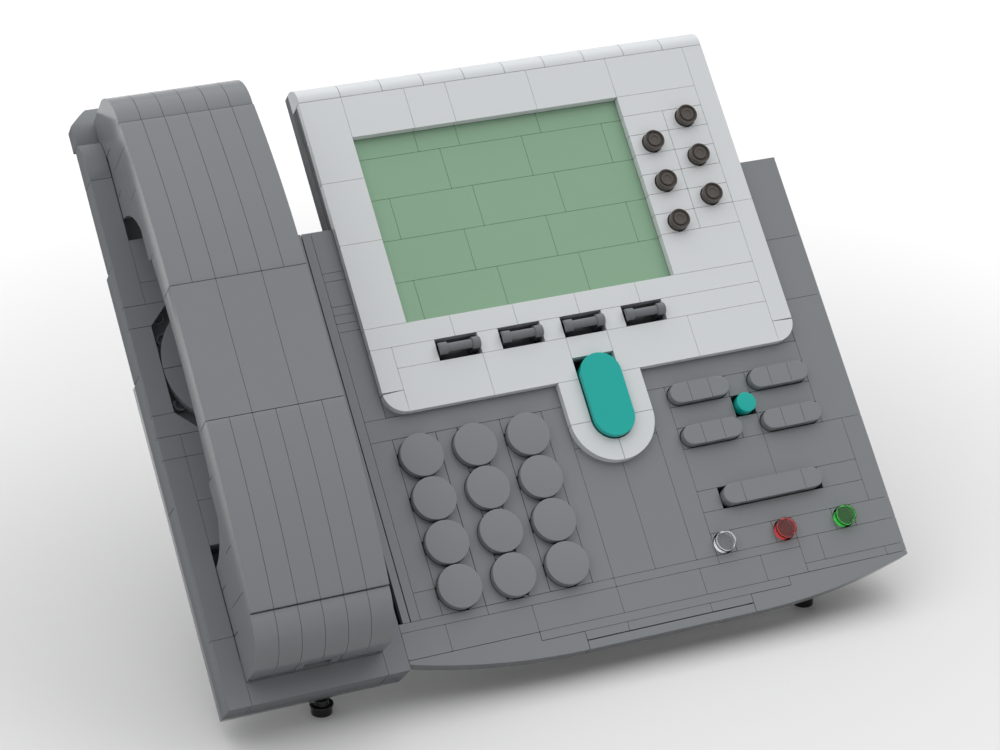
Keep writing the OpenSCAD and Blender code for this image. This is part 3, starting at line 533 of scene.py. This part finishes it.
knob_rows, knob_parts = [], []
for at in LINE_AT:
    v = at[1] - 0.5
    near, far = ((15, 17), (17, 19)) if at[0] == 16 else ((17, 19), (15, 17))
    knob_rows.append(cell(far[0], v, far[1], v + 1))
    knob_parts += beside_knob(at, *near)
bezel_outlines = (
    column([-16, -12, -9, -5], 0, 2) + row([2, 5, 7, 11, 15, 19], -16, -14)
    + column([-16, -8, -2], 19, 20) + [cell(15, -14, 19, -13)] + knob_rows + [cell(15, -7, 19, -5)]
    + row([0, 4, 7, 10, 13, 19], -5, -4) + [cell(0, -4, 1, -2)]
    + [cell(a, -4, b, -3) for a, b in ((1, 3), (5, 6), (8, 9), (11, 12), (14, 19))]
    + row([1, 5, 9], -3, -1) + row([11, 15, 19], -3, -1) + [cell(9, -3, 11, -2)]
    + [bezel_corner(-1), bezel_corner(1)]
)
finish_piece("bezel_tiling", tiles(bezel_outlines, 0, 1) + knob_parts, BEZEL_GREY, "bezel_tiles")

BROW_FRONT, BROW_BACK, BROW_FOOT = 128.1, 135.9, -6.4
BROW_L, BROW_H = 6.8, 9.2
brow_curve = arc(BROW_BACK - BROW_L, PLATE - BROW_H, BROW_L, BROW_H, 0, 90, 20)
brow = soften(np.vstack([[[BROW_FRONT, BROW_FOOT], [BROW_BACK, BROW_FOOT]], brow_curve,
                         [[BROW_FRONT, PLATE]]]), 0.15)
finish_piece("rounded_brow", [side_slab(brow, u, u + 2) for u in range(0, 20, 2)],
             BEZEL_GREY, "bezel_brow")

screen_outlines = row([2, 5, 7, 11, 15], -14, -13)
for v in (-13, -9):
    screen_outlines += row([2, 6, 10, 14, 15], v, v + 2)
for v in (-11, -7):
    screen_outlines += row([2, 3, 7, 11, 15], v, v + 2)
finish_piece("screen_tiling", tiles(screen_outlines, -1, 0), SCREEN_GREEN, "screen_tiles")


def tongue_quarter(side):
    """Quarter ring of the tongue, from radius one stud to two."""
    outer = arc(MIDDLE, -STUD, 15.9, 15.9, 180, 270 - np.degrees(SEAM / 15.9), 30)
    inner = arc(MIDDLE, -STUD, STUD, STUD, 270 - np.degrees(SEAM / STUD), 180, 24)
    outer[0, 1] = inner[-1, 1] = -8.1
    return soften(of_pair(np.vstack([outer, inner]), side), 0.15)


tongue = [cell(8, -1, 9, 1), cell(11, -1, 12, 1), tongue_quarter(-1), tongue_quarter(1)]
finish_piece("tongue_ring", tiles(tongue, 0, 1), BEZEL_GREY, "tongue_tiles")


# Cradle
def opening_corner(sx, sy):
    """Corner tile of one stud at the round cover's opening, cut at 45 degrees."""
    x0, y0 = (-9 if sx > 0 else -3) * STUD, (2 if sy > 0 else 8) * STUD
    bit = np.array([[0.1, 0.1], [7.9, 0.1], [0.1, 7.9]]) * [sx, sy] + [x0, y0]
    return soften(in_order(bit, sx * sy))


def rim_with_cut(y, rise):
    """Rim tile two studs wide whose inner end is cut at 45 degrees, from y on its wide side."""
    bit = np.array([[-79.9, 0.1], [-64.1, 0.1], [-71.9, 7.9], [-79.9, 7.9]])
    return soften(in_order(bit * [1, rise] + [0, y], rise))


cradle_outlines = (
    column([-14, -8], -10, -9) + column([-7, -3], -10, -9) + column([-2, -1, 7, 10], -10, -9)
    + [rim_with_cut(8 * STUD, -1), rim_with_cut(2 * STUD, 1)] + column([-14, -6, 2, 10], -3, -2)
    + column([-11, -9, -8], -9, -3) + column([-2, -1, 1, 3], -9, -3)
    + [cell(-9, 8, -3, 9), cell(-9, 9, -3, 10)]
    + [opening_corner(-1, sy) for sy in (1, -1)]
)
finish_piece("cradle_tiling", tiles(cradle_outlines, -0.96, 0), WALL_GREY, "cradle_tiles")

COVER_X, COVER_Y = -6 * STUD, 5 * STUD
COVER_R = 3 * STUD - 2 * SEAM
parting = np.degrees(SEAM / COVER_R)
upper = arc(COVER_X, COVER_Y, COVER_R, COVER_R, parting, 180 - parting, 60)
lower = (upper * [1, -1] + [0, 2 * COVER_Y])[::-1]
finish_piece("split_round_cover", tiles([soften(upper), soften(lower)], -1, 0),
             DECK_GREY, "cradle_disc")


def hollow_stud(at):
    """Stud with a hollow middle: up its wall, over the rim and down inside."""
    base = -2 * PLATE
    return turned([(AXIS, base - 0.1), (2.4, base - 0.1), (2.4, base + 1.7), (1.6, base + 1.7),
                   (1.6, base + 0.05), (AXIS, base + 0.05)], on_deck(at), steps=40)


cradle_plates = tiles([cell(-9, -11, -3, -8), cell(-9, -2, -3, 3), cell(-9, 8, -3, 9)], -2, -1)
cradle_plates += tiles([cell(-9, -8, -3, -2)], -3, -2)
studs = [hollow_stud((-6 + across, -8.5 + v)) for across in (-2.5, 2.5) for v in (1, 2, 5, 6)]
finish_piece("cradle_plates_and_studs", cradle_plates + studs, DECK_GREY, "cradle_studs")
HUB_R = 1.5 * STUD
hub = turned([(AXIS, -2 * PLATE), (HUB_R, -2 * PLATE), (HUB_R, -PLATE), (AXIS, -PLATE)],
             (COVER_X, COVER_Y))
finish_piece("round_cover_hub", [hub], INNER_BLACK_AND_PAINTED_SHADE, "cradle_disc")

for node in ("base_plate", "cradle_floor", "foot_brackets", "rear_stand"):
    softened_copy(node, DECK_GREY)
for node in ("deck_walls", "display_housing", "display_rim", "cradle_walls", "cradle_end_slopes"):
    softened_copy(node, WALL_GREY)
# Painted shade: the hidden plates under the deck and the display are near-black, so the gaps and
# holes over them read dark.
for node in ("deck_plates", "display_tray"):
    softened_copy(node, INNER_BLACK_AND_PAINTED_SHADE, width=0.1)


def foot(u, back):
    """Turned foot: a plain lower cylinder, a thin wider flange and the stud above it."""
    profile = [(AXIS, 0), (3.7, 0), (3.7, 2.8), (4.15, 3.1), (4.15, 3.6), (2.4, 3.6),
               (2.4, 5.3), (AXIS, 5.3)]
    at = (FACE[0] + u * STUD, FACE[1] + back * STUD)
    return turned(profile, at, soft=0.15, place=upright)


feet = [foot(*at) for at in ((-5.5, -5.57), (17.5, -5.57), (0, 6), (14, 6))]
finish_piece("round_feet", feet, FOOT_BLACK, "feet", origin=np.zeros(3))


# Keys
def stem(at, guide_low, cap_bottom):
    """Stem through the guide plate, with the collar that keeps the key in."""
    low = guide_low - KEY_GAP
    return turned([(AXIS, low - COLLAR_H), (COLLAR_R, low - COLLAR_H), (COLLAR_R, low),
                   (STEM_R, low), (STEM_R, cap_bottom + 0.2), (AXIS, cap_bottom + 0.2)],
                  on_deck(at), steps=32)


def face_key(name, at, solids, finish):
    finish_piece(name + "_cap", solids + [stem(at, -2 * PLATE, KEY_SINK)], finish, name, name)


def round_cap(at, radius):
    """Round cap: an undercut foot, then the full width from just above the deck to a soft edge."""
    foot_r = radius - UNDERCUT
    return turned([(AXIS, KEY_SINK), (foot_r, KEY_SINK), (foot_r, FOOT_TOP),
                   (radius, FOOT_TOP + 0.15), (radius, PLATE), (AXIS, PLATE)],
                  on_deck(at), soft=KEY_EDGE)


for i, at in enumerate(KEYPAD_AT, 1):
    face_key(f"keypad_key_{i}", at, [round_cap(at, KEYPAD_R)], DECK_GREY)
face_key("round_key", ROUND_AT, [round_cap(ROUND_AT, NARROW / 2)], TEAL)

SEAT_R, SEAT_TOP = 3.3, -1.55
for i, (at, finish) in enumerate(zip(LAMP_AT, LAMP_FINISH), 1):
    name = f"lamp_key_{i}"
    lens = turned([(AXIS, -1.5), (SEAT_R, -1.5), (SEAT_R, 0.7), (NARROW / 2, 1.1),
                   (NARROW / 2, PLATE), (2.9, PLATE), (2.8, PLATE - 0.15), (2.6, PLATE - 0.15),
                   (2.5, PLATE), (AXIS, PLATE)], on_deck(at), soft=0.1)
    seat = turned([(AXIS, KEY_SINK), (SEAT_R, KEY_SINK), (SEAT_R, SEAT_TOP), (AXIS, SEAT_TOP)],
                  on_deck(at))
    finish_piece(name + "_lens", [lens], finish, name, name)
    finish_piece(name + "_seat", [seat, stem(at, -2 * PLATE, KEY_SINK)], DECK_GREY, name, name)


def pill_end(side, inner, length):
    """End of a pill: straight from its seam, then half round, with a softer rim round the end."""
    r = NARROW / 2
    rim = arc(length / 2 - r, 0, r, r, -90, 90, 32)
    half = np.vstack([[[inner, -r]], rim, [[inner, r]]]) * [side, 1]
    half = soften(in_order(half, side))
    return half, np.interp(np.abs(half[:, 0]) - inner, [0.1, 3], [0.1, 0.45])


def pill_solids(at, studs):
    """Row of tiles with half-round ends over a narrower foot that runs through all of them."""
    at = on_deck(at)
    length = studs * STUD - 2 * KEY_GAP - SEAM
    inner = (studs / 2 - 1) * STUD
    r = NARROW / 2
    ends = [pill_end(side, inner + SEAM / 2, length) for side in (-1, 1)]
    solids = [slab(end + at, FOOT_TOP, PLATE, soft) for end, soft in ends]
    middle = rectangle(-inner + SEAM / 2, -r, inner - SEAM / 2, r)
    solids.append(slab(middle + at, FOOT_TOP, PLATE))
    foot_r, foot_half = r - UNDERCUT, length / 2 - r
    foot_line = np.vstack([arc(foot_half, 0, foot_r, foot_r, -90, 90),
                           arc(-foot_half, 0, foot_r, foot_r, 90, 270)])
    return solids + [slab(foot_line + at, KEY_SINK, 0.5)]


for i, at in enumerate(PILL_AT, 1):
    face_key(f"pill_key_{i}", at, pill_solids(at, 3), DECK_GREY)
face_key("volume_bar", BAR_AT, pill_solids(BAR_AT, 5), DECK_GREY)


def oval_line(radius):
    """Outline two studs tall with round ends."""
    return np.vstack([arc(MIDDLE, STUD, radius, radius, 0, 180, 40),
                      arc(MIDDLE, -STUD, radius, radius, 180, 360, 40)])


OVAL_FOOT_TOP = 1.2 * PLATE
oval = [slab(oval_line(STUD - KEY_GAP), OVAL_FOOT_TOP, OVAL_TOP, KEY_EDGE),
        slab(oval_line(STUD - 3 * KEY_GAP), KEY_SINK, OVAL_FOOT_TOP + 0.2)]
face_key("oval_key", OVAL_AT, oval, TEAL)

knob_top, knob_foot = 2 * PLATE, PLATE + KEY_SINK
for i, at in enumerate(LINE_AT, 1):
    name = f"line_key_{i}"
    knob = turned([(AXIS, knob_foot), (LINE_R - 0.15, knob_foot), (LINE_R - 0.15, PLATE + 1.5),
                   (LINE_R, PLATE + 1.7), (LINE_R, knob_top), (3.35, knob_top),
                   (3.15, knob_top - 0.9), (2.55, knob_top - 0.9), (2.35, knob_top - 0.15),
                   (1.6, knob_top - 0.15), (1.45, knob_top - 0.5), (AXIS, knob_top - 0.5)],
                  on_deck(at), soft=0.2)
    finish_piece(name + "_knob", [knob, stem(at, -PLATE, knob_foot)], KNOB_BROWN, name, name)


def block(x, y, half_x, half_y, low, high):
    """Upright block about a point of the face."""
    return slab(rectangle(-half_x, -half_y, half_x, half_y) + [x, y], low, high)


SOFT_END = STUD - KEY_GAP - SEAM
SOFT_STOP = -2 * PLATE - KEY_GAP
BAR_R, BAR_THIN_R, BAR_Z, BAR_END = 2.2, 1.6, 4.0, 3.0
POST_HALF, POST_LOW = 1.5, -2.3
for i, at in enumerate(SOFT_AT, 1):
    name = f"soft_key_{i}"
    x, y = on_deck(at)
    left, right = x - SOFT_END, x + SOFT_END
    bar = turned([(AXIS, left), (BAR_R, left), (BAR_R, left + BAR_END),
                  (BAR_THIN_R, left + BAR_END), (BAR_THIN_R, right - BAR_END),
                  (BAR_R, right - BAR_END), (BAR_R, right), (AXIS, right)],
                 (y, BAR_Z), along="x", soft=0.15, steps=40)
    posts = [block(x + side * (SOFT_END - POST_HALF), y, POST_HALF, BAR_R, POST_LOW, BAR_Z)
             for side in (-1, 1)]
    carrier = [block(x, y, 7.65, 3.65, SOFT_STOP - 0.1, POST_LOW + 0.1),
               block(x, y, 8.5, 4.5, SOFT_STOP - COLLAR_H, SOFT_STOP)]
    finish_piece(name + "_bar", [bar], BAR_GREY, name, name)
    # Painted shade: the carrier gets the darker copy of the soft keys' grey.
    finish_piece(name + "_carrier", posts + carrier, SOFT_GREY_PAINTED_SHADE, name, name)


# Handset
def arch_drop(d):
    """Fall of the arched back at d studs from the grip's middle: R - sqrt(R^2 - x^2)."""
    x = np.maximum(np.asarray(d, float) - GRIP_HALF, 0) * STUD
    return ARCH_R - np.sqrt(ARCH_R ** 2 - x ** 2)


def side_line(points, side):
    """Side outline drawn from the grip's middle, laid towards the ear (+1) or the mouth (-1)."""
    points = np.asarray(points, float) * [side, 1] + [-GRIP_MID * STUD, 0]
    return in_order(points, side)


grip = [slab(cell(u, -7, u + 2, -1), GRIP_TOP - PLATE, GRIP_TOP) for u in (-9, -7, -5)]
finish_piece("grip_tile_rows", grip, DECK_GREY, "grip_tiles", "handset")

STRIP_SOFT = 0.1
start, stop = GRIP_HALF * STUD + SEAM, STRIP_HALF * STUD - SEAM
d = np.linspace(GRIP_HALF, STRIP_HALF, 33)
arch_back = np.column_stack([np.clip(d * STUD, start, stop), GRIP_TOP - arch_drop(d)])[::-1]
strip = np.vstack([[[start, STRIP_BOTTOM], [stop, STRIP_BOTTOM]], arch_back])
strips = [side_slab(soften(side_line(strip, side), 0.3), u, u + 1, STRIP_SOFT, FINE_SEAM)
          for u in range(-9, -3) for side in (-1, 1)]
finish_piece("arched_back_strips", strips, DECK_GREY, "arch_strips", "handset")

CAP_TOP = GRIP_TOP - float(arch_drop(STRIP_HALF)) - OVERHANG
CAP_IN = STRIP_HALF * STUD + 2 * SEAM
CAP_OUT = CAP_IN + CAP_L - 3 * SEAM
CREASE = 14
CAP_RISE = CAP_H + 2.2
CAP_ARC = arc(CAP_IN, CAP_TOP - CAP_RISE, (CAP_OUT - CAP_IN) / np.cos(np.radians(CREASE)),
              CAP_RISE, CREASE, 90, 32)
TAIL_IN, TAIL_LOW, TAIL_TOP = 10 * STUD + SEAM, 6.75, STRIP_BOTTOM - SEAM / 2
CAP_TAIL = [[CAP_IN, TAIL_TOP], [TAIL_IN, TAIL_TOP], [TAIL_IN, TAIL_LOW], [CAP_IN, TAIL_LOW]]


def cap_strips(side, low, columns):
    """Strips of a rounded end: flat below, upright to a crease, then part of an ellipse, and a
    tail of one stud towards the grip."""
    line = np.vstack([[[CAP_IN, low], [CAP_OUT, low]], CAP_ARC, CAP_TAIL])
    return [side_slab(soften(side_line(line, side)), u, u + 1, STRIP_SOFT, FINE_SEAM)
            for u in columns]


def block_line(side, a, b, low, high):
    """Rectangular side outline between two distances from the grip's middle, in millimetres."""
    return soften(side_line([[a, low], [b, low], [b, high], [a, high]], side))


SOCKET_DEPTH = 6
beside_socket = block_line(-1, CAP_IN, CAP_OUT, REST_GAP, SOCKET_TOP)
behind_socket = block_line(-1, CAP_IN, CAP_OUT - SOCKET_DEPTH, REST_GAP, SOCKET_TOP)
caps = cap_strips(1, -EAR_DIP, range(-9, -3)) + cap_strips(-1, REST_GAP, (-9, -8, -5, -4))
caps += cap_strips(-1, SOCKET_TOP, (-7, -6))
caps += [side_slab(beside_socket, *span) for span in ((-6.97, SOCKET[0]), (SOCKET[1], -5.03))]
# Painted shade: the inside of the cord socket is near-black, standing for the shade deep in it.
finish_piece("cord_socket_inside", [side_slab(behind_socket, *SOCKET, gap=0)],
             INNER_BLACK_AND_PAINTED_SHADE, "end_caps", "handset")
finish_piece("rounded_end_strips", caps, DECK_GREY, "end_caps", "handset")


def ceiling(x):
    """Height of the finger opening at x mm from the grip's middle: a parabola over the middle, a
    level step, then the arc of the curved end."""
    x = np.abs(x)
    past = np.clip(FINGER_R ** 2 - (x - CEILING_HALF * STUD) ** 2, 0, None)
    end = -FINGER_DROP + np.sqrt(past)
    middle = FINGER_H - FINGER_SAG * (x / (CEILING_HALF * STUD)) ** 2
    return np.where(x <= CEILING_HALF * STUD, middle, np.minimum(end, FINGER_END_H))


def arched_brick(side, a, b, low, high):
    """Brick whose underside follows the ceiling of the finger opening where that is above low."""
    x = np.linspace(a * STUD + SEAM, b * STUD - SEAM, 90)
    bottom = np.maximum(low + SEAM / 2, ceiling(x))
    solid = bottom < high - 0.3
    x, bottom = x[solid], bottom[solid]
    bends = np.abs(np.diff(bottom)) > 1e-6
    under = np.column_stack([x, bottom])[np.r_[True, bends] | np.r_[bends, True]]
    top = high - SEAM / 2
    line = np.vstack([under, [[x[-1], top], [x[0], top]]])
    return side_slab(soften(side_line(line, side)), -9, -3)


STEP_LOW, STEP_HIGH = 6.7, 16.3
body_levels = (
    ((7.5, 9), REST_GAP, STEP_LOW), ((9, 11), REST_GAP, STEP_LOW),
    ((6.5, 10), STEP_LOW, STEP_HIGH), ((8, 10), STEP_HIGH, STRIP_BOTTOM),
    ((5, 8), STEP_HIGH, STRIP_BOTTOM), ((0, 5), STEP_HIGH, STRIP_BOTTOM),
)
bricks = [arched_brick(side, *span, low, high)
          for span, low, high in body_levels for side in (-1, 1)]
spine = rectangle(8.1, STRIP_BOTTOM, 55.9, GRIP_TOP - PLATE)
finish_piece("handset_bricks", bricks + [side_slab(spine, -9, -3)],
             DECK_GREY, "handset_body", "handset")
for node in ("ear_capsule", "mouth_capsule"):
    softened_copy(node, INNER_BLACK_AND_PAINTED_SHADE, "handset", 0.3)


# ---------------------------------------------------------------- studio

# Floor: brightness as seen near the phone, made darker there as a painted shadow, and far from it,
# the brightness it lights the phone with, the distances in metres between which the painted
# shadow fades, and where and how fast it curves up behind
FLOOR_NEAR_PAINTED_SHADOW, FLOOR_FAR, FLOOR_BOUNCE = 0.72, 0.97, 0.5
FADE_START, FADE_END = 0.14, 0.5
CURVE_START, CURVE_RATE = 3.0, 0.25

# Room: strengths on the right, left, back and front, low down and from 30 to 60 degrees, and
# above; the heights of direction, and the turns off a side, between which they blend
HORIZON, BAND, ZENITH = (0.0, 0.42, 0.0, 0.62), (2.15, 1.4, 2.25, 0.2), 1.42
BAND_RISE, ZENITH_RISE, SIDE_RISE = (0.42, 0.58), (0.80, 0.93), (0.5, 0.914)


def calc(nodes, links, operation, *values):
    """One Math node of numbers and sockets."""
    node = nodes.new("ShaderNodeMath")
    node.operation = operation
    for socket, value in zip(node.inputs, values):
        if isinstance(value, (int, float)):
            socket.default_value = value
        else:
            links.new(value, socket)
    return node.outputs["Value"]


def smooth_ramp(nodes, links, value, inside, outside=(0.0, 1.0)):
    """One Map Range node that eases from one pair of values to another."""
    node = nodes.new("ShaderNodeMapRange")
    node.interpolation_type = "SMOOTHSTEP"
    names = ("From Min", "From Max", "To Min", "To Max")
    for name, limit in zip(names, inside + outside):
        node.inputs[name].default_value = limit
    links.new(value, node.inputs["Value"])
    return node.outputs["Result"]


def seen_directly(nodes, links):
    """1 for rays of the camera and for those that gloss and clear plastic send out, else 0."""
    path = nodes.new("ShaderNodeLightPath").outputs
    mirrored = calc(nodes, links, "MAXIMUM", path["Is Glossy Ray"], path["Is Transmission Ray"])
    return calc(nodes, links, "MAXIMUM", path["Is Camera Ray"], mirrored)


def white_room():
    """World of soft light from a wide band overhead. Four strengths, for the right, left, back and
    front, fade into each other round the horizon, another four do from 30 to 60 degrees up, and
    one fills the rest. Rays that are seen directly meet plain white."""
    world = bpy.data.worlds.new("white_room")
    world.use_nodes = True
    nodes, links = world.node_tree.nodes, world.node_tree.links

    def math(operation, *values):
        return calc(nodes, links, operation, *values)

    def blend(share, first, second):
        rest = math("SUBTRACT", 1.0, share)
        return math("ADD", math("MULTIPLY", rest, first), math("MULTIPLY", share, second))

    apart = nodes.new("ShaderNodeSeparateXYZ")
    links.new(nodes.new("ShaderNodeTexCoord").outputs["Generated"], apart.inputs["Vector"])
    x, y, z = apart.outputs
    flat = math("SQRT", math("ADD", math("MULTIPLY", x, x), math("MULTIPLY", y, y)))
    x, y = math("DIVIDE", x, flat), math("DIVIDE", y, flat)
    sides = [smooth_ramp(nodes, links, math("MULTIPLY", axis, sign), SIDE_RISE)
             for axis in (x, y) for sign in (1.0, -1.0)]

    def level(strengths):
        total = 0.0
        for share, strength in zip(sides, strengths):
            total = math("ADD", math("MULTIPLY", share, strength), total)
        return total

    light = blend(smooth_ramp(nodes, links, z, BAND_RISE), level(HORIZON), level(BAND))
    light = blend(smooth_ramp(nodes, links, z, ZENITH_RISE), light, ZENITH)
    background = nodes["Background"].inputs
    links.new(blend(seen_directly(nodes, links), light, 1.0), background["Strength"])
    background["Color"].default_value = (1, 1, 1, 1)
    bpy.context.scene.world = world


def studio_floor():
    """Wide pale sheet that curves up far behind the phone: height = rate (y - start)^2. Its seen
    brightness is darker near the phone, a painted shadow that fades outwards."""
    x, y = np.meshgrid(np.linspace(-6, 6, 3), np.linspace(-4, 8, 61))
    z = CURVE_RATE * np.clip(y - CURVE_START, 0, None) ** 2
    points = np.column_stack([x.ravel(), y.ravel(), z.ravel()])
    index = np.arange(x.size).reshape(x.shape)
    corners = [index[:-1, :-1], index[:-1, 1:], index[1:, 1:], index[1:, :-1]]
    mesh = bpy.data.meshes.new("studio_floor")
    mesh.from_pydata(points.tolist(), [], np.stack(corners, -1).reshape(-1, 4).tolist())
    mesh.polygons.foreach_set("use_smooth", np.ones(len(mesh.polygons), bool))
    material = bpy.data.materials.new("studio_white")
    material.use_nodes = True
    nodes, links = material.node_tree.nodes, material.node_tree.links
    surface = nodes["Principled BSDF"].inputs
    surface["Roughness"].default_value = 0.9
    surface["Specular IOR Level"].default_value = 0.0
    away = nodes.new("ShaderNodeVectorMath")
    away.operation = "LENGTH"
    links.new(nodes.new("ShaderNodeTexCoord").outputs["Object"], away.inputs[0])
    # Painted shadow: the floor as seen darkens towards the phone.
    pale = smooth_ramp(nodes, links, away.outputs["Value"], (FADE_START, FADE_END),
                       (FLOOR_NEAR_PAINTED_SHADOW, FLOOR_FAR))
    seen = nodes.new("ShaderNodeMix")
    seen.data_type = "RGBA"
    seen.inputs["A"].default_value = (FLOOR_BOUNCE, FLOOR_BOUNCE, FLOOR_BOUNCE, 1)
    links.new(pale, seen.inputs["B"])
    links.new(seen_directly(nodes, links), seen.inputs["Factor"])
    links.new(seen.outputs["Result"], surface["Base Color"])
    mesh.materials.append(material)
    sheet = bpy.data.objects.new("studio_floor", mesh)
    bpy.context.scene.collection.objects.link(sheet)


def look_from(place, azimuth, elevation, lens):
    """Camera at a place in metres that looks down by elevation and to the right by azimuth."""
    camera = bpy.data.cameras.new("front_left_camera")
    camera.sensor_fit = "HORIZONTAL"
    camera.sensor_width = 36.0
    camera.lens = lens
    viewpoint = bpy.data.objects.new("front_left_camera", camera)
    turn, dip = np.radians(azimuth), np.radians(elevation)
    gaze = Vector((np.sin(turn) * np.cos(dip), np.cos(turn) * np.cos(dip), -np.sin(dip)))
    viewpoint.location = place
    viewpoint.rotation_euler = gaze.to_track_quat("-Z", "Y").to_euler()
    bpy.context.scene.collection.objects.link(viewpoint)
    bpy.context.scene.camera = viewpoint


studio_floor()
white_room()
look_from((-0.35272, -0.83454, 0.52158), azimuth=23.06, elevation=26.08, lens=101.78)
bpy.context.scene.view_settings.view_transform = "Standard"

bpy.context.view_layer.update()
